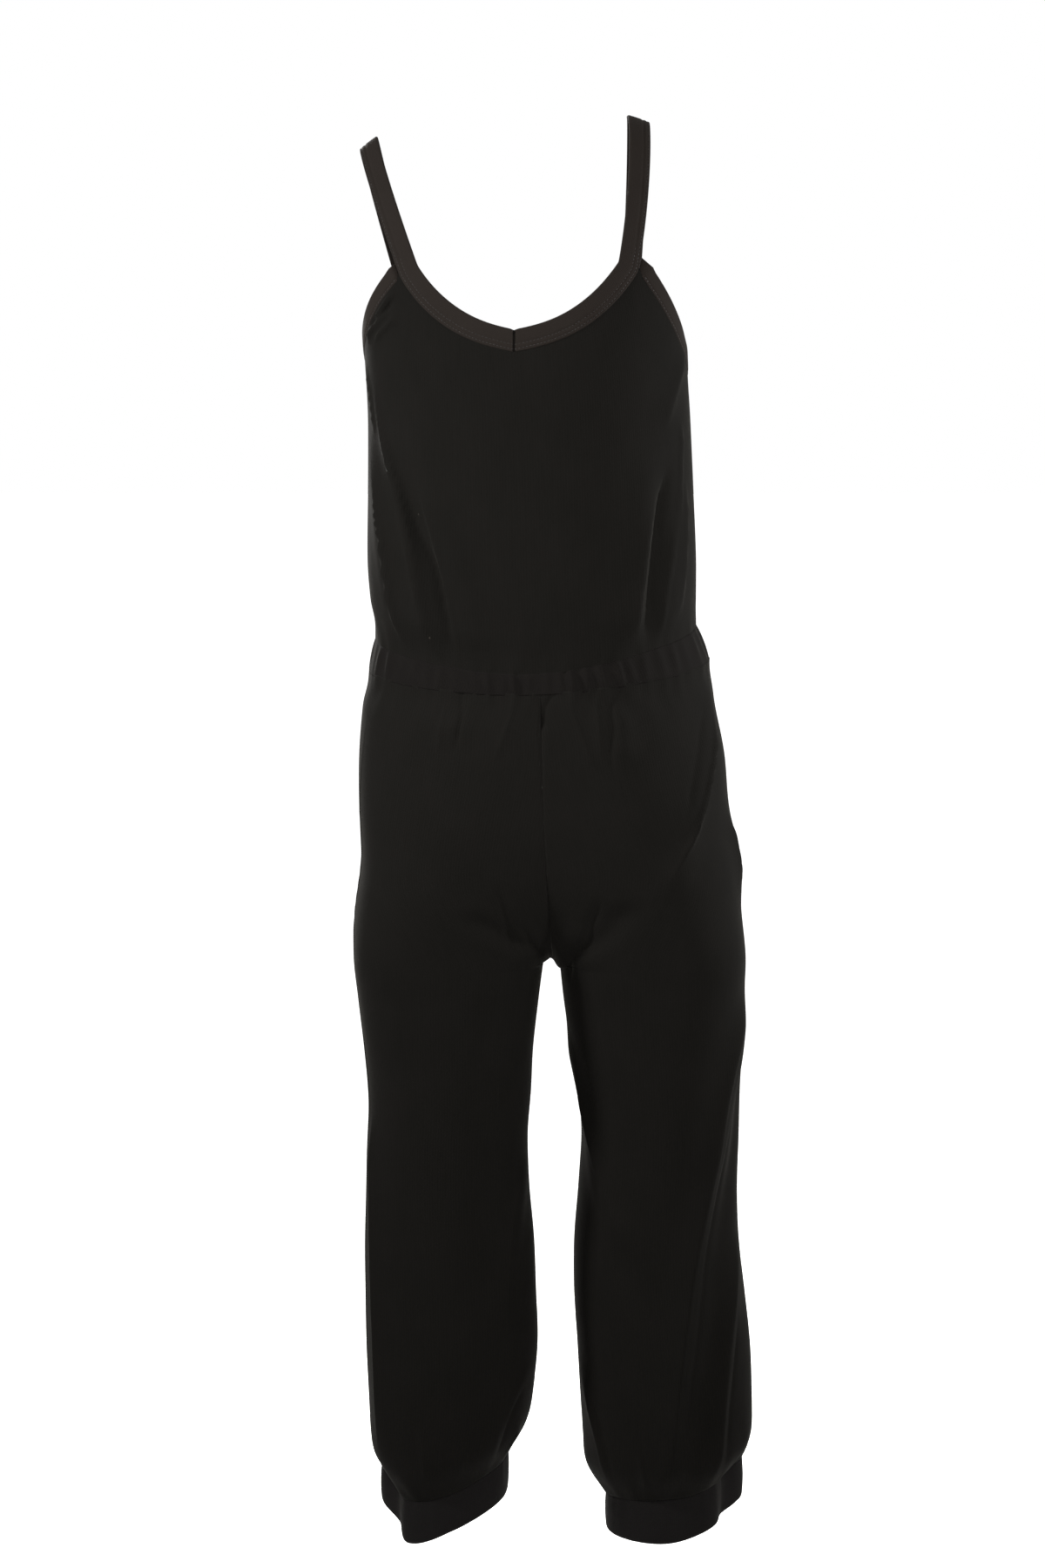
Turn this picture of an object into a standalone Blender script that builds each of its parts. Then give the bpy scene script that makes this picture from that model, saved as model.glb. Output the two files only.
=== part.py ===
# Jumpsuit: camisole top, shirred waist casing and full-length trousers gathered into knitted cuffs.
# It keeps the hollow form that it has when worn, leaning a little to the viewer's right.
# Units are metres. +X is the viewer's right, the front faces -Y and +Z is up.
# The origin lies midway between the crests of the two shoulder straps.
import math

import bmesh
import bpy
from mathutils import Vector

# Driving dimensions
CLOTH_WALL = 0.0018
BAND_WALL = 0.0030
BAND_PROUD = 0.0006
SEAM_GAP = 0.0003
GATHERED_SEAM_GAP = 0.0006
JOIN_GAP = 0.0006
INSIDE_EDGE = 0.01
NECK_BAND_WIDTH = 0.0195
ARMHOLE_BAND_WIDTH = 0.0120
CROTCH_HEIGHT = -0.742
FORK_LENGTH = 0.240
ARCH_ROUNDING = 0.0070
ARCH_DEPTH = 0.0040
ARCH_RISE = 0.0300
ARCH_NARROWNESS = 6
FORK_CALM = 0.100
FORK_HASTE = 4
HIP_LINE = -0.620
SHIN_LINE = -1.120
WAIST_LINE = -0.4745
ANKLE_LINE = -1.2480
BODICE_TUCK = 0.018
TROUSER_TUCK = 0.026
ANKLE_TUCK = 0.040
TORSO_HALF_WIDTH = 0.146
CUFF_SWELL = 0.0010
ARMHOLE_END_STRETCH = 1.1

# Gathers: how many there are round the waist and round each ankle, and how deep they are
WAIST_GATHERS = 56
ANKLE_GATHERS = 28
CASING_PUCKER = 0.0012
CASING_EDGE_PUCKER = 0.35
WAIST_PUCKER = 0.0016
ANKLE_PUCKER = 0.0026
ANKLE_PUCKER_HEIGHT = 0.006
GATHER_FADE = 0.016
GATHER_UNEVENNESS = 0.22
GATHER_SWELLS = 5

# Mesh density: columns across a quarter of the body, and stations along a strap's front or back half
QUARTER_COLUMNS = 14
ARMHOLE_COLUMNS = 6
STRAP_STATIONS = 9

# Steps over which a surface's directions are measured
ACROSS_STEP = 0.004
DOWN_STEP = 0.002
TURN_STEP = 0.5
HEIGHT_STEP = 0.001


class Table:
    """Sizes in named columns, read smoothly between the rows by the first column."""

    def __init__(self, columns, *rows, period=None):
        self.columns = columns.split()
        self.rows = sorted(rows)
        if period:
            before = [(row[0] - period, *row[1:]) for row in self.rows]
            after = [(row[0] + period, *row[1:]) for row in self.rows]
            self.rows = before + self.rows + after

    def slope(self, index, column):
        low = self.rows[max(index - 1, 0)]
        high = self.rows[min(index + 1, len(self.rows) - 1)]
        return (high[column] - low[column]) / (high[0] - low[0])

    def at(self, key):
        """The row at `key`, as a dictionary of its columns."""
        key = min(max(key, self.rows[0][0]), self.rows[-1][0])
        index = next(i for i in range(1, len(self.rows)) if key <= self.rows[i][0])
        low, high = self.rows[index - 1], self.rows[index]
        span = high[0] - low[0]
        part = (key - low[0]) / span
        found = {}
        for column, name in enumerate(self.columns[1:], 1):
            bend_low = self.slope(index - 1, column) * span
            bend_high = self.slope(index, column) * span
            found[name] = (
                low[column] * (1 + 2 * part) * (1 - part) ** 2
                + bend_low * part * (1 - part) ** 2
                + high[column] * part**2 * (3 - 2 * part)
                + bend_high * part**2 * (part - 1)
            )
        return found


# Body rings above the waist. "turn" runs from the left side seam (0) by the front (90) to the right (180).
TORSO = Table(
    "height left right front back square",
    (-0.080, -0.1280, 0.1600, -0.080, 0.078, 2.50),
    (-0.110, -0.1300, 0.1640, -0.091, 0.086, 2.50),
    (-0.140, -0.1300, 0.1640, -0.101, 0.092, 2.45),
    (-0.170, -0.1280, 0.1630, -0.109, 0.096, 2.40),
    (-0.205, -0.1255, 0.1630, -0.116, 0.099, 2.35),
    (-0.250, -0.1235, 0.1660, -0.119, 0.100, 2.30),
    (-0.315, -0.1240, 0.1695, -0.118, 0.097, 2.30),
    (-0.377, -0.1250, 0.1725, -0.115, 0.093, 2.30),
    (-0.410, -0.1230, 0.1720, -0.113, 0.091, 2.30),
    (-0.440, -0.1190, 0.1700, -0.110, 0.087, 2.30),
    (-0.475, -0.1170, 0.1700, -0.108, 0.085, 2.30),
)

# The casing's two edges: the heights of each round the body, and its ring
CASING = Table(
    "share middle lean front_drop back_rise left right front back square",
    (0.0, -0.4436, 0.0060, 0.0274, -0.0024, -0.1155, 0.1700, -0.1030, 0.0800, 2.25),
    (1.0, -0.4745, 0.0045, 0.0150, 0.0040, -0.1220, 0.1845, -0.1070, 0.0850, 2.25),
)

# Hip rings. "centre" is the centre seams' place, "spread" how far each leg's own middle has left it.
HIPS = Table(
    "height left right centre spread front back square",
    (-0.455, -0.1180, 0.1780, 0.0310, 0.00, -0.105, 0.082, 2.25),
    (-0.480, -0.1255, 0.1870, 0.0312, 0.00, -0.108, 0.087, 2.25),
    (-0.505, -0.1295, 0.1920, 0.0315, 0.03, -0.111, 0.093, 2.25),
    (-0.553, -0.1340, 0.1998, 0.0325, 0.15, -0.113, 0.103, 2.30),
    (-0.601, -0.1345, 0.2045, 0.0340, 0.30, -0.112, 0.111, 2.35),
    (-0.650, -0.1325, 0.2130, 0.0365, 0.43, -0.109, 0.116, 2.35),
    (-0.700, -0.1385, 0.2170, 0.0395, 0.505, -0.103, 0.115, 2.30),
    (-0.742, -0.1397, 0.2210, 0.0425, 0.52, -0.097, 0.110, 2.25),
    (-0.782, -0.1360, 0.2202, 0.0425, 0.53, -0.092, 0.103, 2.20),
)

# Leg rings from the crotch down
LEGS = {
    "left": Table(
        "height outer inner front back square",
        (-0.700, -0.1385, 0.0390, -0.103, 0.115, 2.30),
        (-0.742, -0.1397, 0.0355, -0.097, 0.110, 2.25),
        (-0.782, -0.1360, 0.0308, -0.092, 0.103, 2.20),
        (-0.832, -0.1310, 0.0255, -0.088, 0.094, 2.15),
        (-0.874, -0.1285, 0.0235, -0.085, 0.087, 2.10),
        (-0.916, -0.1290, 0.0205, -0.082, 0.081, 2.10),
        (-0.966, -0.1310, 0.0220, -0.079, 0.076, 2.10),
        (-1.017, -0.1330, 0.0265, -0.078, 0.077, 2.15),
        (-1.069, -0.1330, 0.0285, -0.079, 0.080, 2.20),
        (-1.120, -0.1325, 0.0300, -0.080, 0.082, 2.20),
        (-1.172, -0.1305, 0.0245, -0.079, 0.080, 2.20),
        (-1.207, -0.1290, 0.0165, -0.075, 0.075, 2.15),
        (-1.235, -0.1260, 0.0090, -0.070, 0.070, 2.10),
        (-1.270, -0.1220, 0.0030, -0.062, 0.062, 2.10),
    ),
    "right": Table(
        "height outer inner front back square",
        (-0.700, 0.2170, 0.0460, -0.103, 0.115, 2.30),
        (-0.742, 0.2210, 0.0495, -0.097, 0.110, 2.25),
        (-0.782, 0.2202, 0.0530, -0.092, 0.103, 2.20),
        (-0.832, 0.2205, 0.0602, -0.088, 0.094, 2.15),
        (-0.874, 0.2185, 0.0670, -0.085, 0.087, 2.10),
        (-0.916, 0.2177, 0.0705, -0.082, 0.081, 2.10),
        (-0.966, 0.2168, 0.0678, -0.079, 0.076, 2.10),
        (-1.017, 0.2190, 0.0640, -0.078, 0.077, 2.15),
        (-1.069, 0.2253, 0.0640, -0.079, 0.080, 2.20),
        (-1.120, 0.2310, 0.0672, -0.080, 0.082, 2.20),
        (-1.172, 0.2333, 0.0702, -0.079, 0.080, 2.20),
        (-1.207, 0.2337, 0.0727, -0.077, 0.076, 2.15),
        (-1.235, 0.2330, 0.0765, -0.073, 0.072, 2.10),
        (-1.270, 0.2290, 0.0880, -0.065, 0.064, 2.10),
    ),
}

# The knitted cuffs: their reach from the cuff's middle, and the heights of their two edges.
# "turn" runs from the outseam (0) by the front (90) to the inseam (180) and the back (270).
CUFF_MIDDLES = {"left": (-0.050, 0.002), "right": (0.152, 0.002)}
CUFFS = {
    "left": Table(
        "turn reach top hem",
        (0, 0.068, -1.246, -1.281),
        (22, 0.055, -1.254, -1.292),
        (45, 0.062, -1.261, -1.301),
        (90, 0.053, -1.2510, -1.285),
        (135, 0.055, -1.232, -1.266),
        (180, 0.051, -1.227, -1.262),
        (225, 0.055, -1.229, -1.264),
        (270, 0.055, -1.236, -1.270),
        (315, 0.060, -1.240, -1.275),
        (345, 0.069, -1.243, -1.278),
        period=360,
    ),
    "right": Table(
        "turn reach top hem",
        (0, 0.072, -1.237, -1.278),
        (22, 0.056, -1.241, -1.284),
        (45, 0.062, -1.245, -1.2835),
        (68, 0.057, -1.253, -1.2915),
        (90, 0.054, -1.256, -1.2965),
        (135, 0.060, -1.260, -1.2955),
        (180, 0.056, -1.269, -1.303),
        (225, 0.058, -1.262, -1.298),
        (270, 0.056, -1.252, -1.289),
        (315, 0.062, -1.243, -1.281),
        (345, 0.073, -1.239, -1.279),
        period=360,
    ),
}

# Bodice edges: the strap joins, the lowest neck point and the underarm points, as turn and height.
# Each curve between two of them bends by "curve".
NECK_FRONT = {"turn": 84.9, "height": -0.1929}
NECK_BACK = {"turn": 270.0, "height": -0.2120}
JOINS = {
    ("left", "front"): {"turn": 34.4, "height": -0.1275},
    ("left", "back"): {"turn": -31.0, "height": -0.1500},
    ("right", "front"): {"turn": 141.8, "height": -0.1228},
    ("right", "back"): {"turn": 214.0, "height": -0.1460},
}
UNDERARMS = {
    "left": {"turn": 0.0, "height": -0.1990, "curve": 1.35},
    "right": {"turn": 180.0, "height": -0.2120, "curve": 1.70},
}
NECK_STRAIGHT = 0.30
NECK_CURVE = 2.7

# Straps: the outer edge's place at the crest, the slope of the shoulder there, and how the strap rounds it
STRAPS = {
    "left": {"crest": (-0.1291, 0.0, -0.0158), "slope": 37.0},
    "right": {"crest": (0.1288, 0.0, 0.0075), "slope": 17.0},
}
STRAP_ROUNDING = 1.7

# Largest folds. Each follows a path through three turns, at its top, its middle height and its foot,
# and dies away over "fade" at both ends. A negative rise is a trough.
FOLD_COLUMNS = "top middle foot high low fade width rise".split()
FOLDS = {
    "torso": (
        (13, 27, 34, -0.255, -0.500, 0.060, 0.016, 0.0035),
        (24, 40, 44, -0.250, -0.500, 0.060, 0.014, 0.0035),
        (31, 49, 57, -0.260, -0.500, 0.060, 0.013, -0.0035),
        (40, 58, 66, -0.270, -0.500, 0.060, 0.014, 0.0030),
        (141, 134, 130, -0.270, -0.500, 0.060, 0.014, 0.0030),
        (149, 142, 139, -0.260, -0.500, 0.060, 0.013, -0.0030),
        (158, 151, 147, -0.300, -0.500, 0.060, 0.014, 0.0030),
        (167, 153, 141, -0.180, -0.270, 0.030, 0.014, 0.0025),
        (203, 214, 220, -0.265, -0.500, 0.060, 0.015, 0.0030),
        (196, 206, 211, -0.275, -0.500, 0.060, 0.013, -0.0025),
        (263, 264, 266, -0.340, -0.500, 0.070, 0.018, 0.0025),
        (286, 284, 281, -0.320, -0.500, 0.070, 0.018, 0.0025),
        (333, 325, 321, -0.250, -0.500, 0.060, 0.014, 0.0035),
        (341, 334, 331, -0.260, -0.500, 0.060, 0.013, -0.0030),
    ),
    "left": (
        (55, 57, 59, -0.455, -0.545, 0.030, 0.014, 0.0030),
        (98, 117, 150, -0.680, -0.735, 0.020, 0.016, -0.0040),
        (22, 33, 38, -0.880, -1.260, 0.060, 0.016, 0.0030),
        (165, 131, 138, -0.930, -1.130, 0.040, 0.016, 0.0035),
        (150, 124, 128, -1.120, -1.260, 0.035, 0.015, 0.0030),
        (243, 262, 300, -0.735, -0.800, 0.025, 0.018, -0.0035),
        (340, 306, 281, -0.800, -1.200, 0.080, 0.018, 0.0045),
        (200, 224, 248, -0.890, -1.220, 0.080, 0.018, 0.0035),
        (318, 312, 300, -1.080, -1.260, 0.050, 0.016, 0.0030),
        (300, 302, 303, -0.455, -0.550, 0.030, 0.014, 0.0030),
    ),
    "right": (
        (0, 30, 70, -0.475, -0.680, 0.030, 0.016, 0.0040),
        (51, 59, 68, -0.455, -0.560, 0.030, 0.014, 0.0030),
        (18, 18, 17, -0.590, -0.700, 0.035, 0.014, 0.0025),
        (98, 113, 145, -0.670, -0.742, 0.022, 0.016, -0.0040),
        (170, 150, 108, -0.800, -1.020, 0.040, 0.016, 0.0035),
        (22, 66, 97, -0.760, -1.270, 0.050, 0.018, 0.0050),
        (6, 50, 81, -0.800, -1.270, 0.070, 0.015, -0.0030),
        (18, 51, 60, -1.000, -1.270, 0.040, 0.015, 0.0035),
        (163, 144, 140, -1.120, -1.270, 0.035, 0.015, 0.0030),
        (240, 260, 300, -0.735, -0.805, 0.025, 0.018, -0.0035),
        (345, 302, 276, -0.810, -1.190, 0.080, 0.018, 0.0045),
        (197, 226, 246, -0.900, -1.210, 0.080, 0.018, 0.0035),
        (322, 311, 303, -1.090, -1.260, 0.050, 0.016, 0.0030),
        (299, 298, 296, -0.455, -0.540, 0.030, 0.014, 0.0030),
    ),
}


def smooth_step(share):
    share = min(max(share, 0.0), 1.0)
    return share * share * (3 - 2 * share)


def folds_rise(folds, turn, height, reach):
    """How far the folds lift the cloth at a place."""
    rise = 0.0
    for row in folds:
        fold = dict(zip(FOLD_COLUMNS, row))
        if not fold["low"] < height < fold["high"]:
            continue
        part = (fold["high"] - height) / (fold["high"] - fold["low"])
        path = (
            fold["top"] * (1 - part) * (1 - 2 * part)
            + fold["middle"] * 4 * part * (1 - part)
            + fold["foot"] * part * (2 * part - 1)
        )
        away = (turn - path + 180) % 360 - 180
        distance = math.radians(away) * reach / fold["width"]
        fade = smooth_step((fold["high"] - height) / fold["fade"]) * smooth_step((height - fold["low"]) / fold["fade"])
        rise += fold["rise"] * fade * math.exp(-distance * distance)
    return rise


def oval_reach(turn, to_left, to_right, to_front, to_back, square):
    """Distance from a ring's middle to its edge."""
    sideways = math.cos(math.radians(turn))
    forwards = math.sin(math.radians(turn))
    half = to_left if sideways > 0 else to_right
    deep = to_front if forwards > 0 else to_back
    return ((abs(sideways) / half) ** square + (abs(forwards) / deep) ** square) ** (-1 / square)


def round_profile(near):
    """A quarter-round blend: 0 where the cloth hangs free, 1 at the seam that draws it in."""
    near = min(max(near, 0.0), 1.0)
    return 1 - math.sqrt(1 - near * near)


def gather_wave(share, gathers):
    """An uneven run of gathers along a share of a full round."""
    uneven = 1 - GATHER_UNEVENNESS * (1 - math.sin(2 * math.pi * GATHER_SWELLS * share))
    return uneven * math.cos(2 * math.pi * gathers * share)


# Surfaces
def casing_level(turn, share):
    row = CASING.at(share)
    sideways = math.cos(math.radians(turn))
    forwards = math.sin(math.radians(turn))
    return (
        row["middle"]
        - row["lean"] * sideways
        - (row["front_drop"] - row["back_rise"]) / 2 * forwards**2
        - (row["front_drop"] + row["back_rise"]) / 2 * forwards
    )


def casing_point(turn, share, pucker=0.0):
    row = CASING.at(share)
    middle = (row["left"] + row["right"]) / 2
    half = (row["right"] - row["left"]) / 2
    reach = oval_reach(turn, half, half, -row["front"], row["back"], row["square"]) + pucker
    angle = math.radians(turn)
    return Vector((middle - math.cos(angle) * reach, -math.sin(angle) * reach, casing_level(turn, share)))


def torso_point(turn, height):
    row = TORSO.at(height)
    middle = (row["left"] + row["right"]) / 2
    half = (row["right"] - row["left"]) / 2
    reach = oval_reach(turn, half, half, -row["front"], row["back"], row["square"])
    reach += folds_rise(FOLDS["torso"], turn, height, reach)
    above = height - casing_level(turn, 0.0)
    reach += WAIST_PUCKER * gather_wave(turn / 360, WAIST_GATHERS) * math.exp(-((above / GATHER_FADE) ** 2))
    angle = math.radians(turn)
    free = Vector((middle - math.cos(angle) * reach, -math.sin(angle) * reach, height))
    seam = casing_point(turn, 0.0)
    seam.z = height
    return free.lerp(seam, round_profile(1 - above / BODICE_TUCK))


def fork_share(above):
    """How much of the body's depth the centre seam keeps at a height above the crotch."""
    return math.sqrt(1 - (1 - min(above / FORK_LENGTH, 1.0)) ** 4)


def leg_ring(side, height):
    """One leg's ring in the frame where its outseam is on the left, and the turns where its panels meet."""
    mirror = 1 if side == "left" else -1
    if height > CROTCH_HEIGHT:
        row = HIPS.at(height)
        outer = row["left"] if side == "left" else -row["right"]
        seam = mirror * row["centre"]
        middle = seam - row["spread"] * (seam - outer)
        share = fork_share(height - CROTCH_HEIGHT)
        arch = ARCH_ROUNDING * math.exp((CROTCH_HEIGHT - height) / ARCH_RISE)
        inwards = max(seam - middle - arch, 1e-4)
        to_inner = inwards / max(1 - share ** row["square"], 1e-6) ** (1 / row["square"])
        calm_share = share * smooth_step((height - CROTCH_HEIGHT) / FORK_CALM)
    else:
        row = LEGS[side].at(height)
        outer = mirror * row["outer"]
        arch = ARCH_ROUNDING * math.exp((height - CROTCH_HEIGHT) / ARCH_DEPTH)
        seam = mirror * row["inner"] - SEAM_GAP / 2
        middle = (outer + mirror * row["inner"]) / 2
        to_inner = seam - middle
        share = calm_share = 0.0
    edges, calm_edges = (
        {
            "front": 180 - math.degrees(math.atan2(max(-row["front"] * kept, SEAM_GAP / 2), seam - middle)),
            "back": 180 + math.degrees(math.atan2(max(row["back"] * kept, SEAM_GAP / 2), seam - middle)),
        }
        for kept in (share, calm_share)
    )
    return {
        "middle": middle,
        "to_outer": middle - outer,
        "to_inner": to_inner,
        "to_front": -row["front"],
        "to_back": row["back"],
        "square": row["square"],
        "seam": seam,
        "arch": arch,
        "edges": edges,
        "calm_edges": calm_edges,
    }


def cuff_point(side, turn, share, pucker=0.0):
    """A place on a cuff, in the frame where the outseam is on the left."""
    mirror = 1 if side == "left" else -1
    row = CUFFS[side].at(turn % 360)
    reach = row["reach"] + pucker
    angle = math.radians(turn)
    middle = CUFF_MIDDLES[side]
    height = row["top"] + (row["hem"] - row["top"]) * share
    return Vector((mirror * middle[0] - math.cos(angle) * reach, middle[1] - math.sin(angle) * reach, height))


def leg_point(side, panel, across, height):
    """A place on a trouser panel, in the frame where the outseam is on the left."""
    ring = leg_ring(side, height)
    first = math.degrees(SEAM_GAP / 2 / ring["to_outer"])
    first = first if panel == "front" else 360 - first
    calm = ring["calm_edges"][panel]
    turn = first + (calm - first) * across + (ring["edges"][panel] - calm) * across**FORK_HASTE
    body_turn = turn if side == "left" else 180 - turn
    waist = casing_level(body_turn, 1.0)
    ankle = CUFFS[side].at(turn % 360)["top"]
    if height > HIP_LINE:
        height += (waist - GATHERED_SEAM_GAP - WAIST_LINE) * ((height - HIP_LINE) / (WAIST_LINE - HIP_LINE)) ** 2
    if height < SHIN_LINE:
        height += (ankle + GATHERED_SEAM_GAP - ANKLE_LINE) * ((height - SHIN_LINE) / (ANKLE_LINE - SHIN_LINE)) ** 2
    ring = leg_ring(side, height)
    reach = oval_reach(
        turn, ring["to_outer"], ring["to_inner"], ring["to_front"], ring["to_back"], ring["square"]
    )
    reach += ring["arch"] * max(0.0, -math.cos(math.radians(turn))) ** ARCH_NARROWNESS
    reach += folds_rise(FOLDS[side], turn, height, reach)
    quarter = 0.25 * across
    below, above = waist - height, height - ankle
    reach += WAIST_PUCKER * gather_wave(quarter, WAIST_GATHERS) * math.exp(-((below / GATHER_FADE) ** 2))
    nearness = math.exp(-(((above - ANKLE_PUCKER_HEIGHT) / GATHER_FADE) ** 2))
    reach += ANKLE_PUCKER * gather_wave(2 * quarter, ANKLE_GATHERS) * nearness
    angle = math.radians(turn)
    free = Vector((ring["middle"] - math.cos(angle) * reach, -math.sin(angle) * reach, height))
    if below < TROUSER_TUCK:
        drawn = casing_point(body_turn, 1.0)
        drawn.x *= 1 if side == "left" else -1
        drawn.z = height
        free = free.lerp(drawn, round_profile(1 - below / TROUSER_TUCK))
    if above < ANKLE_TUCK:
        drawn = cuff_point(side, turn, 0.0)
        drawn.z = height
        free = free.lerp(drawn, round_profile(1 - above / ANKLE_TUCK))
    if height > CROTCH_HEIGHT:
        seam = ring["seam"] - SEAM_GAP / 2
        if across == 1.0:
            free.x = seam
        elif across < 1 - 2 * ACROSS_STEP:
            free.x = min(free.x, seam)
    return free


# Bodice edges, as curves of the turn
def edge_height(low, high, straight, curve, turn):
    """Height of an edge that climbs from `low` to `high`, straight at first and then ever steeper."""
    share = abs(turn - low["turn"]) / abs(high["turn"] - low["turn"])
    return low["height"] + (high["height"] - low["height"]) * (straight * share + (1 - straight) * share**curve)


def bodice_edge(panel, turn):
    """Height of the bodice panel's upper edge."""
    left, right = JOINS["left", panel], JOINS["right", panel]
    neck = NECK_FRONT if panel == "front" else NECK_BACK
    if panel == "back":
        left = {"turn": left["turn"] + 360, "height": left["height"]}
    first, last = sorted((left, right), key=lambda join: join["turn"])
    if first["turn"] < turn < last["turn"]:
        join = first if turn < neck["turn"] else last
        return edge_height(neck, join, NECK_STRAIGHT, NECK_CURVE, turn)
    side = "right" if abs(turn - 180) < abs((turn + 180) % 360 - 180) else "left"
    under = dict(UNDERARMS[side])
    join = left if side == "left" else right
    if side == "left" and panel == "back":
        under["turn"] = 360.0
    return edge_height(under, join, 0.0, under["curve"], turn)


def bodice_turns(panel):
    """Turns of the bodice panel's columns, with one on each strap join and one on the neck's lowest point."""
    left, right = JOINS["left", panel]["turn"], JOINS["right", panel]["turn"]
    gap = math.degrees(SEAM_GAP / 2 / TORSO_HALF_WIDTH)
    if panel == "front":
        stops = (gap, left, NECK_FRONT["turn"], right, 180 - gap)
    else:
        stops = (180 + gap, right, NECK_BACK["turn"], left + 360, 360 - gap)
    beside_neck = QUARTER_COLUMNS - ARMHOLE_COLUMNS
    counts = (ARMHOLE_COLUMNS, beside_neck, beside_neck, ARMHOLE_COLUMNS)
    turns = [stops[0]]
    for start, end, count in zip(stops, stops[1:], counts):
        turns += [start + (end - start) * step / count for step in range(1, count + 1)]
    return turns


# Building
def make_material(name, colour, roughness, sheen):
    material = bpy.data.materials.new(name)
    material.use_nodes = True
    shader = material.node_tree.nodes["Principled BSDF"]
    shader.inputs["Base Color"].default_value = (*colour, 1.0)
    shader.inputs["Roughness"].default_value = roughness
    shader.inputs["Metallic"].default_value = 0.0
    shader.inputs["Sheen Weight"].default_value = sheen
    material.diffuse_color = (*colour, 1.0)
    return material


def add_object(name, mesh, material, collection):
    """Turns a closed bmesh into a named object with its faces pointing out."""
    bmesh.ops.recalc_face_normals(mesh, faces=mesh.faces[:])
    data = bpy.data.meshes.new(name)
    mesh.to_mesh(data)
    mesh.free()
    data.shade_smooth()
    data.set_sharp_from_angle(angle=math.radians(50))
    data.materials.append(material)
    item = bpy.data.objects.new(name, data)
    collection.objects.link(item)
    return item


def span_rows(mesh, upper, lower):
    """Faces between two rows of points, where the denser row has twice the columns of the other."""
    if len(upper) == len(lower):
        for left in range(len(upper) - 1):
            mesh.faces.new((upper[left], upper[left + 1], lower[left + 1], lower[left]))
        return
    few, many = (upper, lower) if len(upper) < len(lower) else (lower, upper)
    for left in range(len(few) - 1):
        first, middle, last = many[2 * left], many[2 * left + 1], many[2 * left + 2]
        mesh.faces.new((few[left], first, middle))
        mesh.faces.new((few[left], middle, few[left + 1]))
        mesh.faces.new((few[left + 1], middle, last))


def make_wall(mesh, wall):
    """Gives an open surface its thickness: a copy of it is moved along each point's stored direction."""
    inward = mesh.verts.layers.float_vector["inward"]
    copied = bmesh.ops.extrude_face_region(mesh, geom=mesh.faces[:], use_keep_orig=True)
    for item in copied["geom"]:
        if isinstance(item, bmesh.types.BMVert):
            item.co += item[inward] * wall


def build_shell(name, place, rows, wall, turned, material, collection, tube=False, level=()):
    """A cloth wall whose outer face is place(across, down). Each row gives its `down` and its `across` values.

    A tube closes on itself. A row whose `down` is in `level` has its wall along the ground.
    """
    mesh = bmesh.new()
    inward = mesh.verts.layers.float_vector.new("inward")
    made = []
    for down, shares in rows:
        points = []
        for across in shares:
            sideways = place(across + ACROSS_STEP, down) - place(across - ACROSS_STEP, down)
            downwards = place(across, down + DOWN_STEP) - place(across, down - DOWN_STEP)
            normal = sideways.cross(downwards) * turned
            if down in level:
                normal.z = 0
            vert = mesh.verts.new(place(across, down))
            vert[inward] = -normal.normalized()
            points.append(vert)
        if tube:
            points.append(points[0])
        made.append(points)
    for upper, lower in zip(made, made[1:]):
        span_rows(mesh, upper, lower)
    make_wall(mesh, wall)
    return add_object(name, mesh, material, collection)


def even_shares(columns):
    return [step / columns for step in range(columns + 1)]


# Where the bodice's rows lie, as shares of the way down. The last two are dense enough for the gathers.
BODICE_COARSE = (0.0, 0.05, 0.14, 0.25, 0.37, 0.49, 0.61, 0.73, 0.83, 0.915)
BODICE_DENSE = (0.965, 1.0)


def build_bodice(panel, material, collection):
    turns = bodice_turns(panel)

    def turn_at(across):
        place = across * (len(turns) - 1)
        left = min(int(place), len(turns) - 2)
        return turns[left] + (turns[left + 1] - turns[left]) * (place - left)

    def place(across, down):
        turn = turn_at(across)
        top = bodice_edge(panel, turn)
        low = casing_level(turn, 0.0) + GATHERED_SEAM_GAP
        return torso_point(turn, top + (low - top) * down)

    coarse, dense = even_shares(2 * QUARTER_COLUMNS), even_shares(4 * QUARTER_COLUMNS)
    rows = [(down, coarse) for down in BODICE_COARSE]
    rows += [(down, dense) for down in BODICE_DENSE]
    return build_shell(f"bodice_{panel}", place, rows, CLOTH_WALL, -1, material, collection, level=(1.0,))


def build_casing(material, collection):
    def place(across, down):
        swell = CASING_EDGE_PUCKER + (1 - CASING_EDGE_PUCKER) * math.sin(math.pi * down)
        pucker = BAND_PROUD + swell * CASING_PUCKER * (1 + gather_wave(across, WAIST_GATHERS))
        return casing_point(360 * across, down, pucker)

    columns = 2 * WAIST_GATHERS
    shares = even_shares(columns)[:-1]
    rows = [(down, shares) for down in (0.0, 0.5, 1.0)]
    return build_shell(
        "waist_casing", place, rows, BAND_WALL, -1, material, collection, tube=True, level=(0.0, 0.5, 1.0)
    )


# Nominal heights of the trouser panels' rows. The first and last few are dense enough for the gathers.
TROUSER_DENSE_TOP = (-0.4745, -0.485)
TROUSER_COARSE = (
    -0.503, -0.540, -0.580, -0.620, -0.660, -0.695, -0.717, -0.731, -0.7395, -0.742, -0.750,
    -0.768, -0.800, -0.845, -0.890, -0.935, -0.980, -1.025, -1.070, -1.112, -1.150, -1.182, -1.208,
)  # fmt: skip
TROUSER_DENSE_FOOT = (-1.228, -1.240, -1.248)


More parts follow.
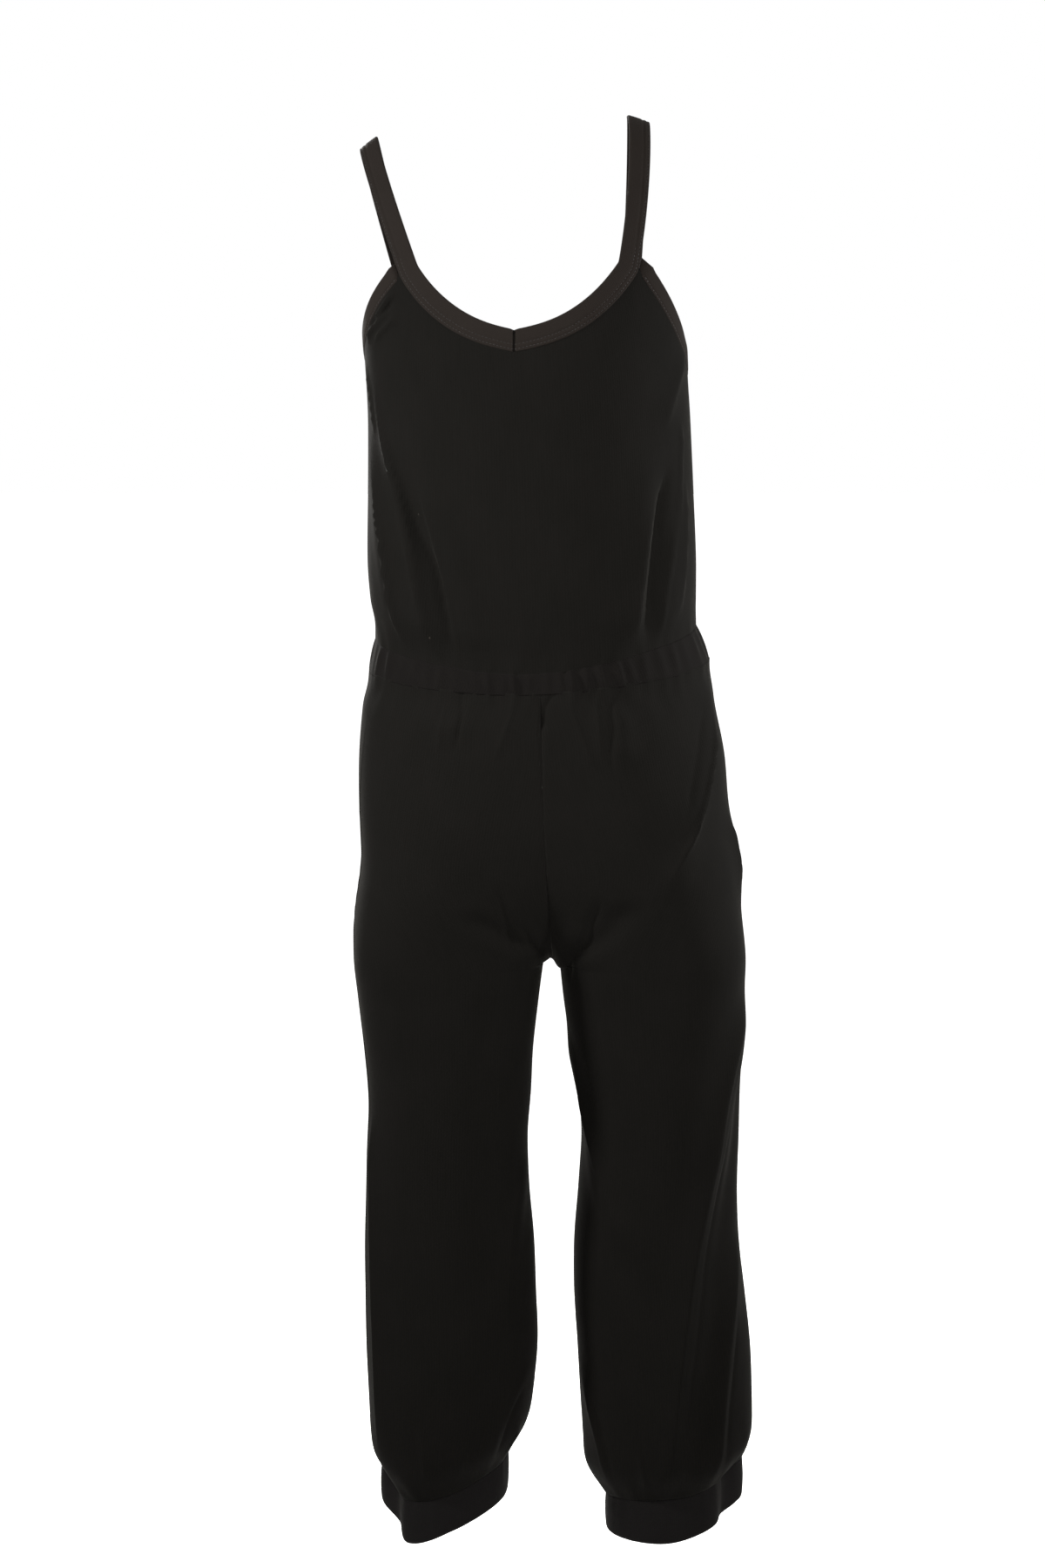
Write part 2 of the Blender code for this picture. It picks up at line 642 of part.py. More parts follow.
def build_trouser_panel(side, panel, material, collection):
    mirror = 1 if side == "left" else -1
    length = WAIST_LINE - ANKLE_LINE

    def place(across, down):
        point = leg_point(side, panel, across, WAIST_LINE - down * length)
        point.x *= mirror
        return point

    coarse, dense = even_shares(QUARTER_COLUMNS), even_shares(2 * QUARTER_COLUMNS)
    rows = [((WAIST_LINE - height) / length, dense) for height in TROUSER_DENSE_TOP]
    rows += [((WAIST_LINE - height) / length, coarse) for height in TROUSER_COARSE]
    rows += [((WAIST_LINE - height) / length, dense) for height in TROUSER_DENSE_FOOT]
    turned = -mirror if panel == "front" else mirror
    return build_shell(
        f"trouser_{panel}_{side}", place, rows, CLOTH_WALL, turned, material, collection, level=(0.0, 1.0)
    )


def build_cuff(side, material, collection):
    mirror = 1 if side == "left" else -1

    def place(across, down):
        swell = BAND_PROUD + CUFF_SWELL * math.sin(math.pi * down)
        point = cuff_point(side, 360 * across, down, swell)
        point.x *= mirror
        return point

    shares = even_shares(2 * ANKLE_GATHERS)[:-1]
    rows = [(down, shares) for down in (0.0, 0.5, 1.0)]
    return build_shell(
        f"cuff_{side}", place, rows, BAND_WALL, -mirror, material, collection, tube=True, level=(0.0, 0.5, 1.0)
    )


def surface_frame(turn, height):
    """A place on the torso with its outward direction."""
    across = torso_point(turn + TURN_STEP, height) - torso_point(turn - TURN_STEP, height)
    down = torso_point(turn, height - HEIGHT_STEP) - torso_point(turn, height + HEIGHT_STEP)
    return torso_point(turn, height), down.cross(across).normalized()


def edge_stations(panel, turns):
    """Places along a bodice edge, each with the cloth's outward direction and the edge's own direction."""
    found = []
    for turn in turns:
        point, outward = surface_frame(turn, bodice_edge(panel, turn))
        before, after = turn - TURN_STEP, turn + TURN_STEP
        along = torso_point(after, bodice_edge(panel, after)) - torso_point(before, bodice_edge(panel, before))
        found.append((point, outward, along.normalized()))
    return found


def neck_stations(side, panel):
    """Stations of the neck band from the centre seam to just below the strap join: point, width, outward."""
    neck = NECK_FRONT if panel == "front" else NECK_BACK
    join = dict(JOINS[side, panel])
    if panel == "back" and side == "left":
        join["turn"] += 360
    sideways = -1 if side == "left" else 1
    columns = QUARTER_COLUMNS - ARMHOLE_COLUMNS
    turns = [neck["turn"] + (join["turn"] - neck["turn"]) * step / columns for step in range(columns + 1)]
    turns[-1] += (neck["turn"] - join["turn"]) * INSIDE_EDGE
    stations = []
    for index, (point, outward, along) in enumerate(edge_stations(panel, turns)):
        width = outward.cross(along).normalized()
        width = width if width.z > 0 else -width
        if index == 0:
            upright = Vector((0, width.y, width.z)).normalized()
            width = upright / upright.dot(width)
            point = point + Vector((sideways * SEAM_GAP / 2, 0, 0))
        stations.append([point + width.normalized() * SEAM_GAP, width, outward])
    return stations


def strap_stations(side, front_end, back_end):
    """Stations of the strap from the front join over the shoulder to the back join."""
    crest = Vector(STRAPS[side]["crest"])
    slope = math.radians(STRAPS[side]["slope"])
    inwards = 1 if side == "left" else -1
    crest_width = Vector((inwards * math.cos(slope), 0, math.sin(slope)))
    stations = []
    for step in range(-STRAP_STATIONS, STRAP_STATIONS + 1):
        share = abs(step) / STRAP_STATIONS
        end = front_end if step < 0 else back_end
        drop = share**STRAP_ROUNDING
        point = crest + (end[0] - crest) * drop
        point.y = crest.y + (end[0].y - crest.y) * share
        width = crest_width.lerp(end[1].normalized(), share)
        outward = Vector((0, 0, 1)).lerp(end[2], share)
        stations.append([point, width, outward])
    return stations


def build_strip(name, stations, width, wall, proud, material, collection):
    """A flat folded band through stations of an edge point, the direction of its width, and its outward side."""
    mesh = bmesh.new()
    rings = []
    for index, (point, across, outward) in enumerate(stations):
        stretch = across.length
        after = stations[min(index + 1, len(stations) - 1)][0]
        before = stations[max(index - 1, 0)][0]
        along = (after - before).normalized()
        across = across.normalized()
        if 0 < index < len(stations) - 1:
            across = (across - along * across.dot(along)).normalized()
        normal = along.cross(across).normalized()
        normal = normal if normal.dot(outward) > 0 else -normal
        outer = point + normal * proud
        inner = outer - normal * wall
        far = across * width * stretch
        rings.append([mesh.verts.new(place) for place in (outer, outer + far, inner + far, inner)])
    for before, after in zip(rings, rings[1:]):
        for corner in range(4):
            following = (corner + 1) % 4
            mesh.faces.new((before[corner], before[following], after[following], after[corner]))
    mesh.faces.new(rings[0])
    mesh.faces.new(rings[-1])
    return add_object(name, mesh, material, collection)


def build_neck_band(side, material, collection):
    front = neck_stations(side, "front")
    back = neck_stations(side, "back")
    strap = strap_stations(side, front[-1], back[-1])
    stations = front + strap[1:-1] + back[::-1]
    build_strip(f"neck_band_{side}", stations, NECK_BAND_WIDTH, BAND_WALL, BAND_PROUD, material, collection)
    return strap


def build_armhole_band(side, strap, material, collection):
    """The narrow band round the armhole, its two ends cut along the strap's outer edge."""
    under = UNDERARMS[side]["turn"]
    stations = []
    for panel in ("front", "back"):
        join = JOINS[side, panel]["turn"]
        turns = [join + (under - join) * step / ARMHOLE_COLUMNS for step in range(ARMHOLE_COLUMNS)]
        turns[0] += (under - join) * INSIDE_EDGE
        if panel == "back" and side == "left":
            turns = [turn + 360 for turn in turns]
        found = []
        for index, (point, outward, along) in enumerate(edge_stations(panel, turns)):
            width = outward.cross(along).normalized()
            width = width if width.z > 0 else -width
            if index == 0:
                order = strap if panel == "front" else strap[::-1]
                width = (order[1][0] - order[0][0]).normalized() * ARMHOLE_END_STRETCH
            found.append([point + width.normalized() * SEAM_GAP, width, outward])
        if panel == "back":
            found = found[::-1]
        else:
            found.append(None)
        stations += found
    middle = stations.index(None)
    point, outward = surface_frame(under, UNDERARMS[side]["height"])
    stations[middle] = [point + Vector((0, 0, SEAM_GAP)), Vector((0, 0, 1)), outward]
    sideways = Vector((-1 if side == "left" else 1, 0, 0))
    for end in (0, -1):
        stations[end][0] = stations[end][0] + sideways * JOIN_GAP
    name = f"armhole_band_{side}"
    return build_strip(name, stations, ARMHOLE_BAND_WIDTH, BAND_WALL, BAND_PROUD, material, collection)


def main():
    for item in list(bpy.data.objects):
        bpy.data.objects.remove(item)
    collection = bpy.data.collections.new("jumpsuit")
    bpy.context.scene.collection.children.link(collection)
    velour = make_material("black_velour_knit", (0.011, 0.010, 0.009), 0.95, 0.4)
    binding = make_material("black_jersey_binding", (0.014, 0.012, 0.011), 0.9, 0.2)
    casing = make_material("black_velour_casing", (0.012, 0.011, 0.010), 0.95, 0.4)
    rib = make_material("black_knit_cuff", (0.013, 0.012, 0.011), 0.9, 0.2)
    for panel in ("front", "back"):
        build_bodice(panel, velour, collection)
    build_casing(casing, collection)
    for side in ("left", "right"):
        strap = build_neck_band(side, binding, collection)
        build_armhole_band(side, strap, binding, collection)
        for panel in ("front", "back"):
            build_trouser_panel(side, panel, velour, collection)
        build_cuff(side, rib, collection)


main()
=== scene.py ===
import math

import bmesh
import bpy
import numpy as np
from mathutils import Matrix, Vector


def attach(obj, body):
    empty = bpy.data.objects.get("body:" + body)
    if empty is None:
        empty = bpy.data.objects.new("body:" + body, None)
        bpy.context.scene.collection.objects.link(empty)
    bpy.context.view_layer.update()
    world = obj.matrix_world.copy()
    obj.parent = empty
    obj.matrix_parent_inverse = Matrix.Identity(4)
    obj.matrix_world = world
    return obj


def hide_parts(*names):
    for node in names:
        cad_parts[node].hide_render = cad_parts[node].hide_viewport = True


# Black jumpsuit of brushed velour: camisole top, shirred waist casing, trousers gathered into knitted cuffs.
# Metres, front towards -Y. On the bodice and the casing "turn" goes round from the left side seam (0) by the
# front (90) to the right one (180), on a leg from its outseam (0) by the front to its inner seam (180). Both
# legs are worked out as a left one, and the right one is mirrored at the end.

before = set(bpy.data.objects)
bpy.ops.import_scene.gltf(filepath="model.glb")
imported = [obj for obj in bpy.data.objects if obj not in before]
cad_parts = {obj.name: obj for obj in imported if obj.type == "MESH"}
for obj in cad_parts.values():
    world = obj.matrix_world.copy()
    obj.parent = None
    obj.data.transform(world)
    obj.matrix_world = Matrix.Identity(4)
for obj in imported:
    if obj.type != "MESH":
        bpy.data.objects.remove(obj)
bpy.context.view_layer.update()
print("frame loaded:", len(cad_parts), "pieces")


cameraSettings = {
    "place": (0.0154, -2.568, -0.1786),
    "pitch": 9.0,            # degrees down
    "lens": 65.0, "sensor": 36.0,     # mm, the sensor's height
    "farthest": 50.0,        # m, nothing beyond is drawn
}


def makeCamera(settings):
    data = bpy.data.cameras.new("camera")
    data.sensor_fit = "VERTICAL"
    data.sensor_height = settings["sensor"]
    data.lens = settings["lens"]
    data.clip_end = settings["farthest"]
    camera = bpy.data.objects.new("camera", data)
    camera.location = settings["place"]
    camera.rotation_euler = (math.radians(90 - settings["pitch"]), 0, 0)
    bpy.context.scene.collection.objects.link(camera)
    bpy.context.scene.camera = camera


makeCamera(cameraSettings)


class SizeTable:
    # sizes in named columns, read smoothly between the rows by the first column
    def __init__(self, columns, *rows, period=None):
        self.names = columns.split()[1:]
        table = np.array(sorted(rows), float)
        if period:
            shift = np.zeros_like(table)
            shift[:, 0] = period
            table = np.concatenate((table - shift, table, table + shift))
        self.keys = table[:, 0]
        self.values = table[:, 1:]
        last = len(table) - 1
        before = np.maximum(np.arange(last + 1) - 1, 0)
        after = np.minimum(np.arange(last + 1) + 1, last)
        spans = (self.keys[after] - self.keys[before])[:, None]
        self.slopes = (self.values[after] - self.values[before]) / spans

    def at(self, key):
        key = np.clip(np.asarray(key, float), self.keys[0], self.keys[-1])
        high = np.clip(np.searchsorted(self.keys, key), 1, len(self.keys) - 1)
        low = high - 1
        span = self.keys[high] - self.keys[low]
        part = (key - self.keys[low]) / span
        found = {}
        for column, name in enumerate(self.names):
            value, slope = self.values[:, column], self.slopes[:, column]
            found[name] = (
                value[low] * (1 + 2 * part) * (1 - part) ** 2
                + slope[low] * span * part * (1 - part) ** 2
                + value[high] * part**2 * (3 - 2 * part)
                + slope[high] * span * part**2 * (part - 1)
            )
        return found


bodiceTable = SizeTable(
    "height left right front back square",
    (-0.080, -0.1280, 0.1600, -0.080, 0.078, 2.50),
    (-0.110, -0.1300, 0.1640, -0.091, 0.086, 2.50),
    (-0.140, -0.1300, 0.1640, -0.101, 0.092, 2.45),
    (-0.170, -0.1280, 0.1630, -0.109, 0.096, 2.40),
    (-0.205, -0.1255, 0.1630, -0.116, 0.099, 2.35),
    (-0.250, -0.1235, 0.1660, -0.119, 0.100, 2.30),
    (-0.315, -0.1240, 0.1695, -0.118, 0.097, 2.30),
    (-0.377, -0.1250, 0.1725, -0.115, 0.093, 2.30),
    (-0.410, -0.1230, 0.1720, -0.113, 0.091, 2.30),
    (-0.440, -0.1190, 0.1700, -0.110, 0.087, 2.30),
    (-0.475, -0.1170, 0.1700, -0.108, 0.085, 2.30),
)
casingTable = SizeTable(
    "share middle lean frontDrop backRise left right front back square",
    (0.0, -0.4436, 0.0060, 0.0274, -0.0024, -0.1180, 0.1725, -0.1062, 0.0820, 2.25),
    (1.0, -0.4745, 0.0045, 0.0150, 0.0040, -0.1240, 0.1850, -0.1092, 0.0870, 2.25),
)
hipTable = SizeTable(
    "height left right centre spread front back square",
    (-0.455, -0.1200, 0.1780, 0.0310, 0.00, -0.105, 0.082, 2.25),
    (-0.480, -0.1260, 0.1858, 0.0312, 0.00, -0.108, 0.087, 2.25),
    (-0.505, -0.1298, 0.1895, 0.0315, 0.03, -0.111, 0.093, 2.25),
    (-0.553, -0.1340, 0.1998, 0.0325, 0.15, -0.113, 0.103, 2.30),
    (-0.601, -0.1345, 0.2045, 0.0340, 0.30, -0.112, 0.111, 2.35),
    (-0.650, -0.1325, 0.2130, 0.0365, 0.43, -0.109, 0.116, 2.40),
    (-0.700, -0.1385, 0.2170, 0.0395, 0.505, -0.103, 0.115, 2.60),
    (-0.742, -0.1397, 0.2210, 0.0425, 0.52, -0.097, 0.110, 3.00),
    (-0.782, -0.1360, 0.2202, 0.0425, 0.53, -0.092, 0.103, 2.70),
)
legTables = {
    "left": SizeTable(
        "height outer inner front back square",
        (-0.700, -0.1385, 0.0390, -0.103, 0.115, 2.60),
        (-0.742, -0.1397, 0.0355, -0.097, 0.110, 3.00),
        (-0.782, -0.1360, 0.0308, -0.092, 0.103, 2.70),
        (-0.832, -0.1310, 0.0255, -0.088, 0.094, 2.35),
        (-0.874, -0.1285, 0.0235, -0.085, 0.087, 2.10),
        (-0.916, -0.1290, 0.0205, -0.082, 0.081, 2.10),
        (-0.966, -0.1310, 0.0220, -0.079, 0.076, 2.10),
        (-1.017, -0.1330, 0.0265, -0.078, 0.077, 2.15),
        (-1.069, -0.1330, 0.0285, -0.079, 0.080, 2.20),
        (-1.120, -0.1325, 0.0300, -0.080, 0.082, 2.20),
        (-1.172, -0.1305, 0.0245, -0.079, 0.080, 2.20),
        (-1.207, -0.1290, 0.0165, -0.075, 0.075, 2.15),
        (-1.235, -0.1260, 0.0090, -0.070, 0.070, 2.10),
        (-1.270, -0.1220, 0.0030, -0.062, 0.062, 2.10),
    ),
    "right": SizeTable(
        "height outer inner front back square",
        (-0.700, 0.2170, 0.0460, -0.103, 0.115, 2.60),
        (-0.742, 0.2210, 0.0495, -0.097, 0.110, 3.00),
        (-0.782, 0.2202, 0.0530, -0.092, 0.103, 2.70),
        (-0.832, 0.2205, 0.0602, -0.088, 0.094, 2.35),
        (-0.874, 0.2185, 0.0670, -0.085, 0.087, 2.10),
        (-0.916, 0.2177, 0.0705, -0.082, 0.081, 2.10),
        (-0.966, 0.2168, 0.0678, -0.079, 0.076, 2.10),
        (-1.017, 0.2190, 0.0640, -0.078, 0.077, 2.15),
        (-1.069, 0.2253, 0.0640, -0.079, 0.080, 2.20),
        (-1.120, 0.2310, 0.0672, -0.080, 0.082, 2.20),
        (-1.172, 0.2333, 0.0702, -0.079, 0.080, 2.20),
        (-1.207, 0.2337, 0.0727, -0.077, 0.076, 2.15),
        (-1.235, 0.2330, 0.0750, -0.073, 0.072, 2.10),
        (-1.270, 0.2270, 0.0805, -0.065, 0.064, 2.10),
    ),
}
cuffMiddles = {"left": (-0.050, 0.002), "right": (0.152, 0.002)}
cuffTables = {
    "left": SizeTable(
        "turn reach top hem",
        (0, 0.068, -1.246, -1.282), (22, 0.055, -1.254, -1.2945), (45, 0.062, -1.261, -1.3043),
        (90, 0.053, -1.2510, -1.2885), (135, 0.055, -1.232, -1.2705), (180, 0.051, -1.227, -1.265),
        (225, 0.055, -1.229, -1.264), (270, 0.055, -1.236, -1.270), (315, 0.060, -1.240, -1.275),
        (345, 0.069, -1.243, -1.278),
        period=360,
    ),
    "right": SizeTable(
        "turn reach top hem",
        (0, 0.072, -1.237, -1.278), (22, 0.056, -1.241, -1.286), (45, 0.062, -1.245, -1.2885),
        (68, 0.057, -1.253, -1.2962), (90, 0.054, -1.256, -1.3010), (135, 0.060, -1.260, -1.3003),
        (180, 0.056, -1.269, -1.3040),
        (225, 0.058, -1.262, -1.298), (270, 0.056, -1.252, -1.289), (315, 0.062, -1.243, -1.281),
        (345, 0.073, -1.239, -1.279),
        period=360,
    ),
}
mirrors = {"left": 1, "right": -1}     # times x, this makes a side's leg or cuff a left one

# what the bodice's upper edge passes through
neckLow = {"front": (84.9, -0.1929), "back": (270.0, -0.2120)}
strapJoins = {
    ("left", "front"): (34.4, -0.1275),
    ("left", "back"): (329.0, -0.1500),
    ("right", "front"): (141.8, -0.1228),
    ("right", "back"): (214.0, -0.1460),
}
underarms = {"left": (0.0, -0.1990, 1.35), "right": (180.0, -0.2120, 1.70)}
neckStraight, neckCurve = 0.30, 2.7
strapCrests = {
    "left": {"crest": (-0.1291, 0.0, -0.0158), "slope": 37.0, "rounding": 1.7, "bow": 1.1, "fullness": 1.0},
    "right": {"crest": (0.1280, 0.0, 0.0075), "slope": 17.0, "rounding": 2.2, "bow": 2.0, "fullness": 1.08},
}

crotchHeight, forkLength, forkCalm, forkHaste, forkFullness = -0.742, 0.200, 0.100, 4, 3
archRounding, archDepth, archRise, archNarrowness = 0.0070, 0.0018, 0.0300, 6
# the fork hangs lower on the right
forkSagPlace, forkSag, forkSagWidth, forkSagHeight = 0.0485, 0.0060, 0.0062, 0.022
hipLine, shinLine, waistLine, ankleLine = -0.620, -1.120, -0.4745, -1.2480
bodiceEase, trouserEase, ankleEase = 0.036, 0.032, 0.050     # over these lengths the cloth runs in to a band
bodiceTuck, trouserTuck, ankleTuck = 0.1, 0.2, 0.5     # from a soft slope (0) to a round tuck (1) there
ankleDelay = 1.5     # above 1 the cloth turns in closer to the cuff
seamGap, gatheredGap = 0.0001, 0.0002
bandProud, cuffSwell = 0.0006, 0.0010
clothWall, bandWall = 0.0018, 0.0030


# the broad folds of the frame: three turns of the path, where it starts and ends, fade, width, rise
broadFolds = {
    "bodice": (
        (13, 27, 34, -0.255, -0.500, 0.060, 0.016, 0.0035),
        (24, 40, 44, -0.250, -0.500, 0.060, 0.014, 0.0035),
        (31, 49, 57, -0.260, -0.500, 0.060, 0.013, -0.0035),
        (40, 58, 66, -0.270, -0.500, 0.060, 0.014, 0.0030),
        (141, 134, 130, -0.270, -0.500, 0.060, 0.014, 0.0030),
        (149, 142, 139, -0.260, -0.500, 0.060, 0.013, -0.0030),
        (158, 151, 147, -0.300, -0.500, 0.060, 0.014, 0.0030),
        (167, 153, 141, -0.180, -0.270, 0.030, 0.014, 0.0025),
        (203, 214, 220, -0.265, -0.500, 0.060, 0.015, 0.0030),
        (196, 206, 211, -0.275, -0.500, 0.060, 0.013, -0.0025),
        (263, 264, 266, -0.340, -0.500, 0.070, 0.018, 0.0025),
        (286, 284, 281, -0.320, -0.500, 0.070, 0.018, 0.0025),
        (333, 325, 321, -0.250, -0.500, 0.060, 0.014, 0.0035),
        (341, 334, 331, -0.260, -0.500, 0.060, 0.013, -0.0030),
    ),
    "left": (
        (55, 57, 59, -0.455, -0.545, 0.030, 0.014, 0.0030),
        (98, 117, 150, -0.680, -0.735, 0.020, 0.016, -0.0040),
        (22, 33, 38, -0.880, -1.260, 0.060, 0.016, 0.0030),
        (165, 131, 138, -0.930, -1.130, 0.040, 0.016, 0.0035),
        (150, 124, 128, -1.120, -1.260, 0.035, 0.015, 0.0030),
        (243, 262, 300, -0.735, -0.800, 0.025, 0.018, -0.0035),
        (340, 306, 281, -0.800, -1.200, 0.080, 0.018, 0.0045),
        (200, 224, 248, -0.890, -1.220, 0.080, 0.018, 0.0035),
        (318, 312, 300, -1.080, -1.260, 0.050, 0.016, 0.0030),
        (300, 302, 303, -0.455, -0.550, 0.030, 0.014, 0.0030),
    ),
    "right": (
        (8, 39, 80, -0.475, -0.680, 0.030, 0.016, 0.0030),
        (51, 59, 68, -0.455, -0.560, 0.030, 0.014, 0.0030),
        (18, 18, 17, -0.590, -0.700, 0.035, 0.014, 0.0025),
        (98, 113, 145, -0.670, -0.742, 0.022, 0.016, -0.0040),
        (170, 150, 108, -0.800, -1.020, 0.040, 0.016, 0.0035),
        (22, 66, 97, -0.760, -1.270, 0.050, 0.018, 0.0050),
        (6, 50, 81, -0.800, -1.270, 0.070, 0.015, -0.0030),
        (18, 51, 60, -1.000, -1.270, 0.040, 0.015, 0.0035),
        (163, 144, 140, -1.120, -1.270, 0.035, 0.015, 0.0030),
        (240, 260, 300, -0.735, -0.805, 0.025, 0.018, -0.0035),
        (345, 302, 276, -0.810, -1.190, 0.080, 0.018, 0.0045),
        (197, 226, 246, -0.900, -1.210, 0.080, 0.018, 0.0035),
        (322, 311, 303, -1.090, -1.260, 0.050, 0.016, 0.0030),
        (299, 298, 296, -0.455, -0.540, 0.030, 0.014, 0.0030),
    ),
}

creaseSettings = {
    "strength": {"bodice": 2.3, "left": 1.45, "right": 1.45},
    "crest": 0.16,     # lower is sharper
    "fall": 1.7,       # how fast a crease falls off beside its crest
    "reach": 3.6,      # widths from its path beyond which it isn't worked out
    "taper": 0.28,     # share of its path over which each end dies out
    "bits": 4,         # straight bits from one point of the path to the next
}

